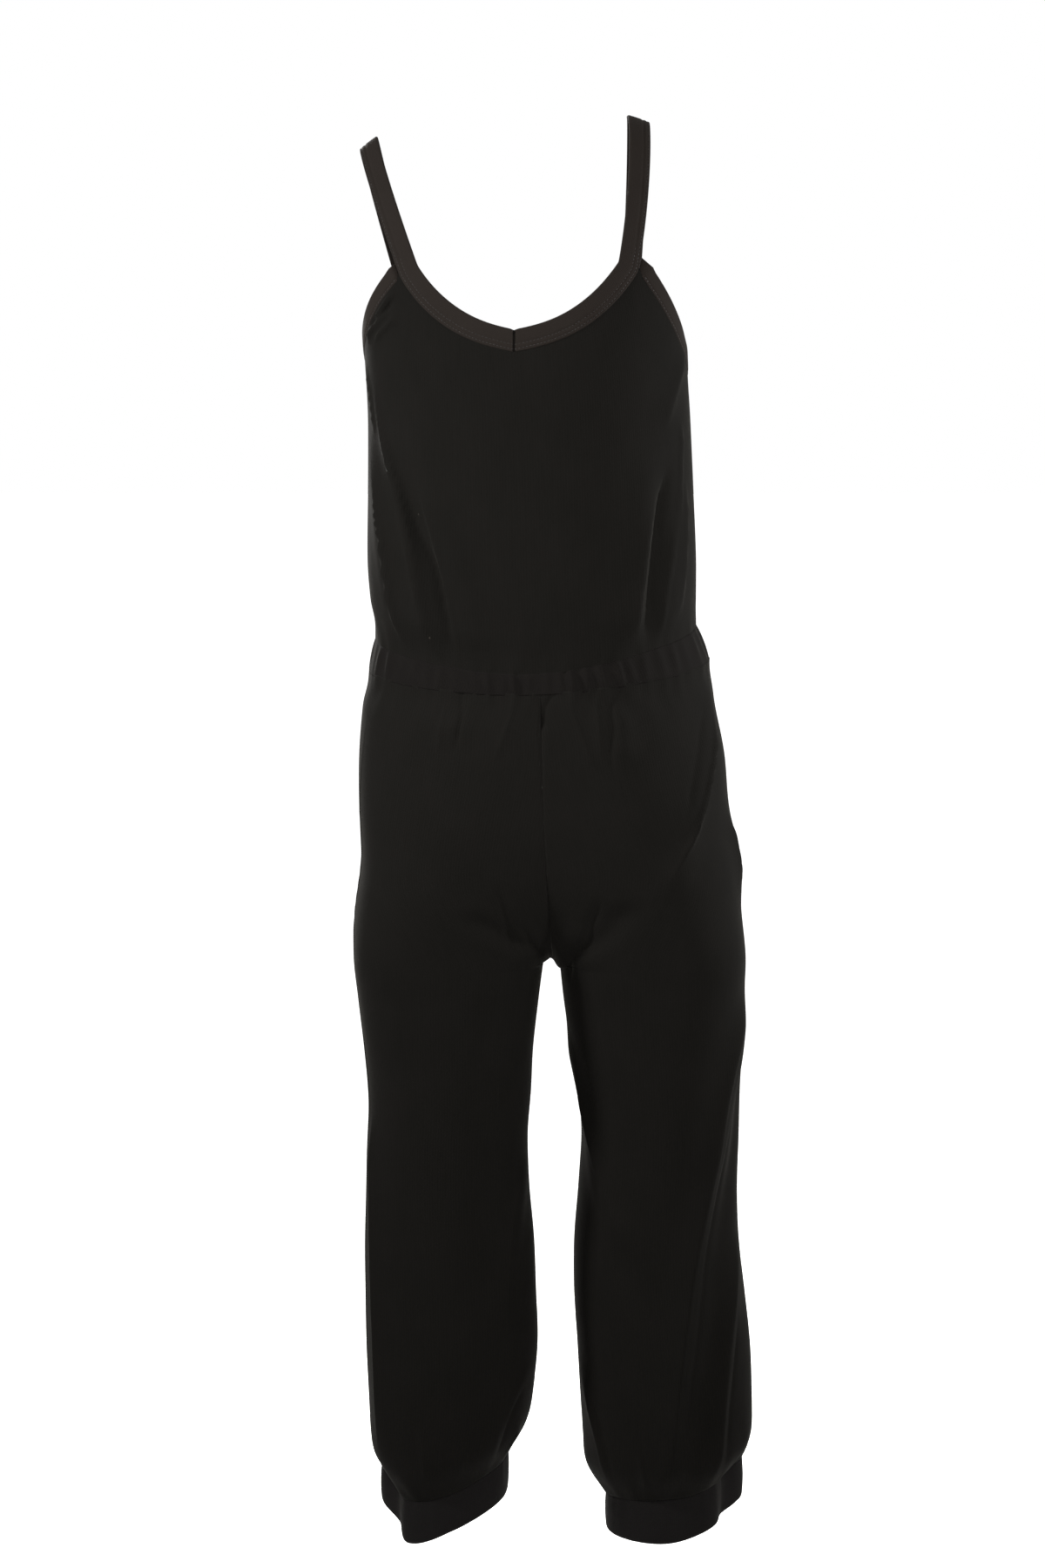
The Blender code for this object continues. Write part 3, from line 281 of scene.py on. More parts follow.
# the creases on them: rise, width towards the smaller and the larger turn, then (turn, height) down the path
creases = {
    "bodice": (
        (0.0023, 0.003, 0.006, (18, -0.290), (23.5, -0.332), (26.8, -0.354), (28.5, -0.381),
         (29.8, -0.403), (31, -0.430), (32, -0.456)),
        (0.0024, 0.008, 0.004, (20, -0.215), (23, -0.243), (27.5, -0.265), (31.5, -0.286), (36, -0.313),
         (40, -0.352), (42, -0.379), (43.5, -0.404), (44.5, -0.433), (44, -0.466)),
        (-0.0020, 0.004, 0.006, (32, -0.280), (43, -0.348), (50, -0.388), (55, -0.464)),
        (0.0014, 0.005, 0.008, (43, -0.300), (49, -0.345), (52.5, -0.392), (55, -0.437), (56, -0.466)),
        (0.0014, 0.008, 0.0035, (142, -0.300), (137.2, -0.356), (136, -0.384), (134.5, -0.410),
         (134, -0.458)),
        (-0.0028, 0.0055, 0.005, (150, -0.285), (144.5, -0.335), (141.5, -0.389), (139, -0.456)),
        (0.0014, 0.007, 0.004, (152, -0.330), (146, -0.404), (145, -0.448)),
        (0.0011, 0.006, 0.004, (160, -0.300), (157, -0.360), (154, -0.430)),
        (0.0008, 0.005, 0.007, (166, -0.186), (152, -0.228), (145, -0.262)),
        (0.0010, 0.004, 0.004, (158, -0.250), (157, -0.275), (155, -0.313), (152, -0.345)),
        (0.0019, 0.0026, 0.004, (24, -0.168), (29, -0.155), (34, -0.140)),
        (0.0017, 0.003, 0.004, (16, -0.184), (24, -0.170), (33, -0.156)),
        (-0.0016, 0.003, 0.003, (20, -0.172), (28, -0.161), (34, -0.148)),
        (0.0013, 0.003, 0.004, (22, -0.186), (31, -0.171), (37, -0.160)),
        (0.0009, 0.004, 0.005, (10, -0.196), (16, -0.236), (20, -0.268)),
        (0.0014, 0.005, 0.008, (204, -0.290), (212, -0.360), (219, -0.450)),
        (-0.0015, 0.004, 0.006, (197, -0.300), (206, -0.380), (211, -0.450)),
        (0.0012, 0.005, 0.006, (236, -0.360), (240, -0.410), (243, -0.452)),
        (0.0012, 0.006, 0.005, (304, -0.350), (300, -0.400), (298, -0.452)),
        (0.0015, 0.008, 0.005, (333, -0.280), (326, -0.360), (322, -0.450)),
        (-0.0015, 0.006, 0.004, (341, -0.290), (334, -0.380), (331, -0.450)),
        (0.0010, 0.004, 0.006, (322, -0.176), (334, -0.206), (344, -0.250)),
        (0.0010, 0.006, 0.004, (222, -0.172), (212, -0.204), (200, -0.246)),
    ),
    "left": (
        (0.0012, 0.004, 0.004, (49, -0.468), (50, -0.500), (53, -0.522), (56, -0.550)),
        (-0.0019, 0.0034, 0.0034, (54, -0.466), (55.6, -0.488), (56.4, -0.500), (59.8, -0.520),
         (62, -0.546)),
        (0.0008, 0.004, 0.006, (77, -0.480), (79, -0.515), (80, -0.552)),
        (0.0007, 0.0025, 0.0025, (15, -0.490), (14, -0.600), (14, -0.740), (15, -0.900), (16, -1.060),
         (17, -1.215)),
        (-0.0017, 0.005, 0.006, (106, -0.660), (110.9, -0.675), (117.1, -0.696), (121.7, -0.713),
         (125, -0.723), (129, -0.733)),
        (-0.0015, 0.0035, 0.0035, (122, -0.694), (126.8, -0.705), (130.1, -0.713), (135.1, -0.722),
         (139.5, -0.727), (145, -0.732)),
        (0.0017, 0.0045, 0.010, (24, -0.880), (26, -0.926), (30, -0.986), (34, -1.098), (35, -1.174),
         (36, -1.222)),
        (0.0012, 0.008, 0.005, (164, -0.930), (140, -0.974), (132, -1.018), (128, -1.074), (136, -1.106)),
        (0.0013, 0.008, 0.005, (141, -1.130), (128, -1.150), (124, -1.178), (126, -1.218)),
        (-0.0014, 0.005, 0.005, (148, -1.146), (136, -1.166), (131, -1.190), (131, -1.222)),
        (0.0013, 0.004, 0.008, (150, -1.190), (144, -1.208), (142, -1.232)),
        (0.0011, 0.005, 0.006, (70, -1.170), (74, -1.200), (76, -1.240)),
        (0.0009, 0.008, 0.005, (104, -1.190), (102, -1.216), (101, -1.240)),
        (0.0016, 0.006, 0.009, (338, -0.820), (320, -0.900), (304, -1.000), (292, -1.110), (284, -1.180)),
        (0.0014, 0.009, 0.006, (204, -0.900), (216, -0.980), (228, -1.080), (244, -1.190)),
        (-0.0014, 0.006, 0.005, (240, -0.740), (256, -0.758), (276, -0.776), (296, -0.790)),
        (0.0012, 0.006, 0.006, (236, -0.762), (256, -0.780), (280, -0.800)),
        (0.0013, 0.005, 0.007, (300, -0.480), (302, -0.512), (303, -0.548)),
    ),
    "right": (
        (0.0026, 0.0060, 0.0019, (10, -0.497), (17.4, -0.520), (22.7, -0.537), (29.1, -0.558),
         (37, -0.581), (45.6, -0.601), (54, -0.618), (65.4, -0.639), (76, -0.659)),
        (0.0018, 0.0030, 0.014, (8, -0.492), (17.4, -0.520), (22.7, -0.537), (29.1, -0.558), (37, -0.581),
         (45.6, -0.601), (54, -0.618), (65.4, -0.639), (78, -0.664)),
        (-0.0012, 0.004, 0.006, (17, -0.497), (25, -0.520), (31, -0.540), (38, -0.562), (46, -0.585),
         (54, -0.603)),
        (0.0014, 0.004, 0.007, (18, -0.612), (18, -0.640), (17, -0.676)),
        (-0.0025, 0.0055, 0.0055, (108, -0.668), (111.5, -0.680), (117.7, -0.696), (122.1, -0.713),
         (129, -0.726), (138.9, -0.739), (142.2, -0.751), (144, -0.762)),
        (-0.0012, 0.003, 0.003, (137.5, -0.705), (137, -0.715), (136.8, -0.722), (135.3, -0.728),
         (134, -0.736)),
        (0.0011, 0.004, 0.004, (61, -0.466), (66, -0.500), (70, -0.520), (75, -0.548)),
        (-0.0020, 0.0042, 0.0038, (52, -0.464), (54.5, -0.483), (60.3, -0.500), (64.3, -0.520),
         (69.5, -0.539), (73, -0.562)),
        (0.0007, 0.004, 0.006, (76, -0.480), (78, -0.520), (80, -0.560)),
        (-0.0017, 0.0030, 0.0034, (82, -0.464), (84.2, -0.488), (86.6, -0.496), (91, -0.509),
         (94, -0.524)),
        (0.0013, 0.008, 0.005, (157, -0.820), (157, -0.882), (139, -0.934), (124, -0.974), (114, -1.004)),
        (0.0022, 0.005, 0.012, (25, -0.780), (34, -0.810), (42, -0.838), (53, -0.914), (63, -0.990),
         (73, -1.058), (82, -1.122), (88, -1.194), (94, -1.244)),
        (-0.0016, 0.006, 0.005, (34, -0.850), (46, -0.930), (56, -1.000), (66, -1.070), (76, -1.140),
         (84, -1.230)),
        (0.0018, 0.005, 0.009, (20, -1.000), (36, -1.058), (48, -1.110), (54, -1.166), (56, -1.206),
         (59, -1.244)),
        (-0.0014, 0.005, 0.005, (32, -1.070), (42, -1.120), (48, -1.170), (51, -1.236)),
        (0.0013, 0.008, 0.005, (158, -1.140), (147, -1.182), (141, -1.214), (140, -1.244)),
        (-0.0012, 0.005, 0.005, (150, -1.150), (139, -1.190), (133, -1.240)),
        (0.0011, 0.005, 0.006, (112, -1.196), (110, -1.220), (110, -1.248)),
        (0.0016, 0.006, 0.009, (342, -0.830), (318, -0.910), (300, -1.000), (286, -1.110), (278, -1.170)),
        (0.0014, 0.009, 0.006, (202, -0.910), (216, -0.980), (230, -1.080), (244, -1.190)),
        (-0.0014, 0.006, 0.005, (238, -0.742), (254, -0.760), (274, -0.778), (296, -0.794)),
        (0.0012, 0.006, 0.006, (234, -0.764), (254, -0.782), (278, -0.802)),
        (0.0013, 0.005, 0.007, (299, -0.480), (298, -0.512), (296, -0.540)),
    ),
}


def smoothStep(share):
    share = np.clip(share, 0.0, 1.0)
    return share * share * (3 - 2 * share)


def turnApart(turn, other):
    return (turn - other + 180) % 360 - 180


def broadLift(folds, turn, height, reach):
    lift = np.zeros_like(turn)
    for top, middle, foot, high, low, fade, width, rise in folds:
        part = (high - height) / (high - low)
        path = (top * (1 - part) * (1 - 2 * part) + middle * 4 * part * (1 - part)
                + foot * part * (2 * part - 1))
        distance = np.radians(turnApart(turn, path)) * reach / width
        kept = smoothStep((high - height) / fade) * smoothStep((height - low) / fade)
        lift += rise * kept * np.exp(-distance * distance)
    return lift


def smoothPath(points, steps):
    # a curve through the points, as a run of short straight bits
    knots = np.array(points, float)
    knots = np.vstack((2 * knots[0] - knots[1], knots, 2 * knots[-1] - knots[-2]))
    found = []
    for index in range(1, len(knots) - 2):
        before, start, end, after = knots[index - 1 : index + 3]
        for share in np.arange(steps) / steps:
            found.append(0.5 * (2 * start + (end - before) * share
                                + (2 * before - 5 * start + 4 * end - after) * share**2
                                + (3 * start - before - 3 * end + after) * share**3))
    found.append(knots[-2])
    return np.array(found)


def creaseLift(panel, turn, height, reach):
    # each crease is pinched along its crest, steeper on one side, and tapers away at both of its ends
    crest = creaseSettings["crest"]
    lift = np.zeros(turn.shape)
    for rise, before, after, *points in creases[panel]:
        path = smoothPath(points, creaseSettings["bits"])
        edge = creaseSettings["reach"] * max(before, after)
        near = (height < path[:, 1].max() + edge) & (height > path[:, 1].min() - edge)
        if not near.any():
            continue
        someTurn, someHeight, someReach = turn[near], height[near], reach[near]
        nearest = np.full(someTurn.shape, 1e9)
        along = np.zeros(someTurn.shape)
        side = np.zeros(someTurn.shape)
        for index in range(len(path) - 1):
            toX = np.radians(path[index + 1, 0] - path[index, 0]) * someReach
            toY = path[index + 1, 1] - path[index, 1]
            fromX = np.radians(turnApart(someTurn, path[index, 0])) * someReach
            fromY = someHeight - path[index, 1]
            share = np.clip((fromX * toX + fromY * toY) / (toX**2 + toY**2), 0, 1)
            apart = (fromX - share * toX) ** 2 + (fromY - share * toY) ** 2
            closer = apart < nearest
            nearest = np.where(closer, apart, nearest)
            along = np.where(closer, (index + share) / (len(path) - 1), along)
            side = np.where(closer, toX * fromY - toY * fromX, side)
        width = np.where(side > 0, after, before)
        ends = creaseSettings["taper"]
        taper = smoothStep(along / ends) * smoothStep((1 - along) / ends)
        fallen = np.exp(-creaseSettings["fall"] * (np.sqrt(nearest / width**2 + crest**2) - crest))
        lift[near] += rise * creaseSettings["strength"][panel] * taper * fallen
    return lift


gatherSettings = {
    "waist": {"count": 56, "rise": 0.0025, "width": 0.0029, "reach": 0.019},
    "ankle": {"count": 28, "rise": 0.0030, "width": 0.0042, "reach": 0.024},
    "seamShare": 0.45,     # how much of a fold or gather is left where the casing holds it
    "spread": 1.2, "fade": 1.6,     # how a gather widens and dies out away from its seam
    "farthest": 0.075, "evened": 0.02,     # none runs on further, and this close to the seam they even out
    "seed": 11,
}
# how far round the cloth goes where it is gathered
girths = {"bodice": 0.48, "casing": 0.48, "trouser": 0.50, "ankle": 0.40, "cuff": 0.38}


def scatterGathers(count, rise, width, reach, seed):
    # uneven gathers round one full turn: centre as a share, rise, half width, how far each one runs
    chance = np.random.default_rng(seed)
    return [
        {
            "centre": (index + 0.5 + chance.uniform(-0.24, 0.24)) / count,
            "rise": rise * (0.35 + 1.3 * chance.uniform(0, 1) ** 2),
            "width": width * chance.uniform(0.75, 1.3),
            "reach": reach * chance.uniform(0.45, 1.7),
            "lean": chance.uniform(-0.12, 0.12),
        }
        for index in range(count)
    ]


waistGathers = scatterGathers(**gatherSettings["waist"], seed=gatherSettings["seed"])
ankleGathers = {
    side: scatterGathers(**gatherSettings["ankle"], seed=gatherSettings["seed"] + 1 + number)
    for number, side in enumerate(("left", "right"))
}


def roundApart(share, centre, girth):
    # metres round a ring, from places that are shares of one full turn
    return ((share - centre + 0.5) % 1 - 0.5) * girth


def gatherLift(gathers, share, distance, girth):
    # distance is how far the cloth is from the seam that draws it in
    lift = np.zeros(share.shape)
    near = distance < gatherSettings["farthest"]
    someShare, someDistance = share[near], np.maximum(distance[near], 0)
    total = np.zeros(someShare.shape)
    for gather in gathers:
        apart = roundApart(someShare, gather["centre"], girth) - gather["lean"] * someDistance
        spread = gather["width"] * (1 + gatherSettings["spread"] * someDistance / gather["reach"])
        faded = (someDistance / gather["reach"]) ** gatherSettings["fade"]
        total += gather["rise"] * np.exp(-((apart / spread) ** 2) - faded)
    lift[near] = total - total.mean() * np.exp(-((someDistance / gatherSettings["evened"]) ** 2))
    return lift


def ovalReach(turn, toLeft, toRight, toFront, toBack, square):
    sideways, forwards = np.cos(np.radians(turn)), np.sin(np.radians(turn))
    half = np.where(sideways > 0, toLeft, toRight)
    deep = np.where(forwards > 0, toFront, toBack)
    return ((np.abs(sideways) / half) ** square + (np.abs(forwards) / deep) ** square) ** (-1 / square)


def roundProfile(near):
    near = np.clip(near, 0.0, 1.0)
    return 1 - np.sqrt(1 - near * near)


def easeProfile(near, roundness):
    # 0 on the free cloth to 1 at the band, from a soft slope to a round tuck
    near = np.clip(near, 0.0, 1.0)
    return (1 - roundness) * smoothStep(near) + roundness * roundProfile(near)


def onRing(middle, turn, reach, height, middleY=0.0):
    angle = np.radians(turn)
    x, y = middle - np.cos(angle) * reach, middleY - np.sin(angle) * reach
    return np.stack(np.broadcast_arrays(x, y, height), -1)


def casingLevel(turn, share):
    row = casingTable.at(share)
    sideways, forwards = np.cos(np.radians(turn)), np.sin(np.radians(turn))
    return (row["middle"] - row["lean"] * sideways
            - (row["frontDrop"] - row["backRise"]) / 2 * forwards**2
            - (row["frontDrop"] + row["backRise"]) / 2 * forwards)


def casingPoint(turn, share, pucker):
    row = casingTable.at(share)
    half = (row["right"] - row["left"]) / 2
    reach = ovalReach(turn, half, half, -row["front"], row["back"], row["square"]) + pucker
    return onRing((row["left"] + row["right"]) / 2, turn, reach, casingLevel(turn, share))


def bodicePoint(turn, height, dressed=True):
    turn, height = np.broadcast_arrays(np.asarray(turn, float), np.asarray(height, float))
    row = bodiceTable.at(height)
    half = (row["right"] - row["left"]) / 2
    reach = ovalReach(turn, half, half, -row["front"], row["back"], row["square"])
    above = height - casingLevel(turn, 0.0)
    tucked = easeProfile(1 - above / bodiceEase, bodiceTuck)
    reach = reach + broadLift(broadFolds["bodice"], turn, height, reach)
    folds = 0.0
    if dressed:
        folds = creaseLift("bodice", turn, height, reach)
        folds = folds + gatherLift(waistGathers, turn / 360, above, girths["bodice"])
    free = onRing((row["left"] + row["right"]) / 2, turn, reach + folds, height)
    seam = casingPoint(turn, 0.0, folds * gatherSettings["seamShare"])
    seam[..., 2] = height
    return free + (seam - free) * tucked[..., None]


def legRing(side, height):
    mirror = mirrors[side]
    hip, leg = hipTable.at(height), legTables[side].at(height)
    above = height > crotchHeight
    hipOuter, hipSeam = mirror * hip[side], mirror * hip["centre"]
    hipMiddle = hipSeam - hip["spread"] * (hipSeam - hipOuter)
    rise = np.clip((height - crotchHeight) / forkLength, 0, 1)
    share = np.where(above, (1 - (1 - rise) ** 4) ** (1 / forkFullness), 0.0)
    calmShare = share * smoothStep((height - crotchHeight) / forkCalm)
    arch = archRounding * np.where(above, np.exp(-np.maximum(height - crotchHeight, 0) / archRise),
                                   np.exp(np.minimum(height - crotchHeight, 0) / archDepth))
    square = np.where(above, hip["square"], leg["square"])
    inwards = np.maximum(hipSeam - hipMiddle - arch, 1e-4)
    hipInner = inwards / np.maximum(1 - share**square, 1e-6) ** (1 / square)
    legOuter, legInner = mirror * leg["outer"], mirror * leg["inner"]
    legMiddle = (legOuter + legInner) / 2
    outer = np.where(above, hipOuter, legOuter)
    middle = np.where(above, hipMiddle, legMiddle)
    seam = np.where(above, hipSeam, legInner - seamGap / 2)
    front = np.where(above, hip["front"], leg["front"])
    back = np.where(above, hip["back"], leg["back"])
    edges = {}
    for name, kept in (("edges", share), ("calmEdges", calmShare)):
        edges[name] = {
            "front": 180 - np.degrees(np.arctan2(np.maximum(-front * kept, seamGap / 2), seam - middle)),
            "back": 180 + np.degrees(np.arctan2(np.maximum(back * kept, seamGap / 2), seam - middle)),
        }
    return {
        "middle": middle, "toOuter": middle - outer, "toFront": -front, "toBack": back, "square": square,
        "toInner": np.where(above, hipInner, legInner - seamGap / 2 - legMiddle),
        "seam": seam, "arch": arch, **edges,
    }


def cuffPoint(side, turn, share, pucker=0.0):
    row = cuffTables[side].at(np.asarray(turn) % 360)
    height = row["top"] + (row["hem"] - row["top"]) * share
    middleX, middleY = cuffMiddles[side]
    return onRing(mirrors[side] * middleX, turn, row["reach"] + pucker, height, middleY)


def legPoint(side, panel, across, height):
    ring = legRing(side, height)
    first = np.degrees(seamGap / 2 / ring["toOuter"])
    first = first if panel == "front" else 360 - first
    calm = ring["calmEdges"][panel]
    turn = first + (calm - first) * across + (ring["edges"][panel] - calm) * across**forkHaste
    waistTurn = turn if side == "left" else 180 - turn
    waist = casingLevel(waistTurn, 1.0)
    ankle = cuffTables[side].at(turn % 360)["top"]
    towardsWaist = np.clip((height - hipLine) / (waistLine - hipLine), 0, 1) ** 2
    towardsAnkle = np.clip((height - shinLine) / (ankleLine - shinLine), 0, 1) ** 2
    height = (height + (waist - gatheredGap - waistLine) * towardsWaist
              + (ankle + gatheredGap - ankleLine) * towardsAnkle)
    ring = legRing(side, height)
    reach = ovalReach(turn, ring["toOuter"], ring["toInner"], ring["toFront"], ring["toBack"], ring["square"])
    reach = reach + ring["arch"] * np.maximum(0, -np.cos(np.radians(turn))) ** archNarrowness
    reach = reach + broadLift(broadFolds[side], turn, height, reach)
    below, above = waist - height, height - ankle
    folds = creaseLift(side, turn, height, reach)
    folds = folds + gatherLift(waistGathers, waistTurn / 360, below, girths["trouser"])
    reach = reach + folds + gatherLift(ankleGathers[side], turn / 360, above, girths["ankle"])
    free = onRing(ring["middle"], turn, reach, height)
    drawn = casingPoint(waistTurn, 1.0, folds * gatherSettings["seamShare"])
    drawn[..., 0] *= mirrors[side]
    drawn[..., 2] = height
    free = free + (drawn - free) * easeProfile(1 - below / trouserEase, trouserTuck)[..., None]
    drawn = cuffPoint(side, turn, 0.0)
    drawn[..., 2] = height
    nearCuff = np.clip(1 - above / ankleEase, 0, 1) ** ankleDelay
    free = free + (drawn - free) * easeProfile(nearCuff, ankleTuck)[..., None]
    seam = ring["seam"] - seamGap / 2
    aboveFork = height > crotchHeight
    free[..., 0] = np.where(aboveFork & (across > 1 - 1e-6), seam, free[..., 0])
    free[..., 0] = np.where(aboveFork, np.minimum(free[..., 0], seam), free[..., 0])
    fromSag = free[..., 0] * mirrors[side] - forkSagPlace
    free[..., 2] -= forkSag * np.exp(-((fromSag / forkSagWidth) ** 2)
                                     - ((free[..., 2] - crotchHeight) / forkSagHeight) ** 2)
    return free


def edgeHeight(low, high, straight, curve, turn):
    share = np.abs(turn - low[0]) / abs(high[0] - low[0])
    return low[1] + (high[1] - low[1]) * (straight * share + (1 - straight) * share**curve)


def bodiceEdge(panel, turn):
    neck = neckLow[panel]
    leftJoin, rightJoin = strapJoins["left", panel], strapJoins["right", panel]
    leftUnder = underarms["left"] if panel == "front" else (360.0, *underarms["left"][1:])
    rightUnder = underarms["right"]
    turn = np.asarray(turn, float)
    towardsLeft = turn < neck[0] if panel == "front" else turn > neck[0]
    beyondLeft = turn < leftJoin[0] if panel == "front" else turn > leftJoin[0]
    beyondRight = turn > rightJoin[0] if panel == "front" else turn < rightJoin[0]
    neckLine = np.where(towardsLeft, edgeHeight(neck, leftJoin, neckStraight, neckCurve, turn),
                        edgeHeight(neck, rightJoin, neckStraight, neckCurve, turn))
    leftLine = edgeHeight(leftUnder, leftJoin, 0.0, leftUnder[2], turn)
    rightLine = edgeHeight(rightUnder, rightJoin, 0.0, rightUnder[2], turn)
    return np.where(beyondLeft, leftLine, np.where(beyondRight, rightLine, neckLine))


def gridNormals(points):
    # outward directions of a grid of points
    normals = np.cross(np.gradient(points, axis=0), np.gradient(points, axis=1))
    normals /= np.maximum(np.linalg.norm(normals, axis=2, keepdims=True), 1e-12)
    centre = points.reshape(-1, 3).mean(0)
    return normals * np.sign(((points - centre) * normals).sum())


def runLengths(points, axis):
    # how far along the cloth each point lies, in metres
    steps = np.linalg.norm(np.diff(points, axis=axis), axis=2)
    lengths = np.cumsum(steps, axis=axis)
    return np.concatenate((np.zeros_like(np.take(lengths, [0], axis)), lengths), axis)


def layGrid(points, uvAcross, uvDown):
    # a grid moved onto the points; its UV map is in metres along the cloth
    rows, columns = points.shape[0] - 1, points.shape[1] - 1
    uvAcross, uvDown = np.broadcast_arrays(uvAcross, uvDown)
    mesh = bmesh.new()
    bmesh.ops.create_grid(mesh, x_segments=columns, y_segments=rows, size=0.5)
    uvLayer = mesh.loops.layers.uv.new("clothUv")
    places = {}
    for vert in mesh.verts:
        column, row = round((vert.co.x + 0.5) * columns), round((0.5 - vert.co.y) * rows)
        places[vert] = (uvAcross[row, column], uvDown[row, column])
        vert.co = points[row, column]
    for face in mesh.faces:
        for loop in face.loops:
            loop[uvLayer].uv = places[loop.vert]
    return mesh


def finishMesh(name, mesh, material):
    data = bpy.data.meshes.new(name)
    mesh.to_mesh(data)
    mesh.free()
    data.shade_smooth()
    data.materials.append(material)
    piece = bpy.data.objects.new(name, data)
    bpy.context.scene.collection.objects.link(piece)
    return piece


def finishPiece(name, mesh, material):
    # every piece moves with the one part
    piece = finishMesh(name, mesh, material)
    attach(piece, "root")
    return piece


def clothPiece(name, points, material, tube=False, wall=clothWall):
    middle = (points.shape[1] - 1) // 2
    across, down = runLengths(points, 1), runLengths(points, 0)
    mesh = layGrid(points, across - across[:, [middle]], -down[:, [middle]])
    if tube:
        bmesh.ops.remove_doubles(mesh, verts=mesh.verts, dist=1e-6)
    bmesh.ops.recalc_face_normals(mesh, faces=mesh.faces)
    centre = Vector(points.reshape(-1, 3).mean(0))
    if sum((face.calc_center_median() - centre).dot(face.normal) for face in mesh.faces) < 0:
        bmesh.ops.reverse_faces(mesh, faces=mesh.faces)
    piece = finishPiece(name, mesh, material)
    thickness = piece.modifiers.new("clothWall", "SOLIDIFY")
    thickness.thickness = wall
    thickness.offset = -1.0
    thickness.use_rim = True
    return piece


def linear(hexColour):
    # sRGB hex to the linear colour that the shader takes
    parts = [int(hexColour[index : index + 2], 16) / 255 for index in (1, 3, 5)]
    bright = [part / 12.92 if part <= 0.04045 else ((part + 0.055) / 1.055) ** 2.4 for part in parts]
    return (*bright, 1.0)


def addNode(material, kind, settings=None, sockets=None):
    node = material.node_tree.nodes.new(kind)
    for name, value in (settings or {}).items():
        setattr(node, name, value)
    for name, value in (sockets or {}).items():
        if isinstance(value, bpy.types.NodeSocket):
            material.node_tree.links.new(value, node.inputs[name])
        else:
            node.inputs[name].default_value = value
    return node


def startMaterial(name):
    material = bpy.data.materials.new(name)
    material.use_nodes = True
    return material, material.node_tree.nodes["Principled BSDF"]


napTint = "#c9c4b8"     # the pale bloom of cloth where it turns away
bandPitch = 0.31416     # m from band to band of a wave texture at scale 1


def finishCloth(material, shader, colour, bump, settings):
    # the colour and the bump are linked, and what is the same all over is set on the shader
    material.node_tree.links.new(colour.outputs[2], shader.inputs["Base Color"])
    material.node_tree.links.new(bump.outputs["Normal"], shader.inputs["Normal"])
    shader.inputs["Roughness"].default_value = settings["roughness"]
    shader.inputs["Specular IOR Level"].default_value = settings["gloss"]
    if "sheen" in settings:
        shader.inputs["Sheen Weight"].default_value = settings["sheen"]
        shader.inputs["Sheen Roughness"].default_value = settings["sheenRoughness"]
        shader.inputs["Sheen Tint"].default_value = linear(napTint)
    return material


velourSettings = {
    "dark": "#040403", "light": "#090807", "lint": "#1d1b18",
    "walePitch": 0.0024,     # the real wales are 0.9 mm apart; drawn coarser so that they show
    "pileGrain": 0.0011,     # tufts of the brushed pile
    "waleDepth": 0.00010, "pileDepth": 0.00016,
    "cloudScale": 22.0, "brushScale": 260.0, "brushStretch": 0.12,
    # what each adds to the tone, from dark to light
    "ground": -0.10, "pileTone": 0.55, "cloudTone": 0.5, "brushTone": 0.25, "waleTone": 0.22,
    "lintScale": 42.0, "lintSize": 0.030, "lintBare": 0.80,     # share of the cells without lint
    "roughness": 0.92, "gloss": 0.022, "sheen": 0.016, "sheenRoughness": 0.33,
}


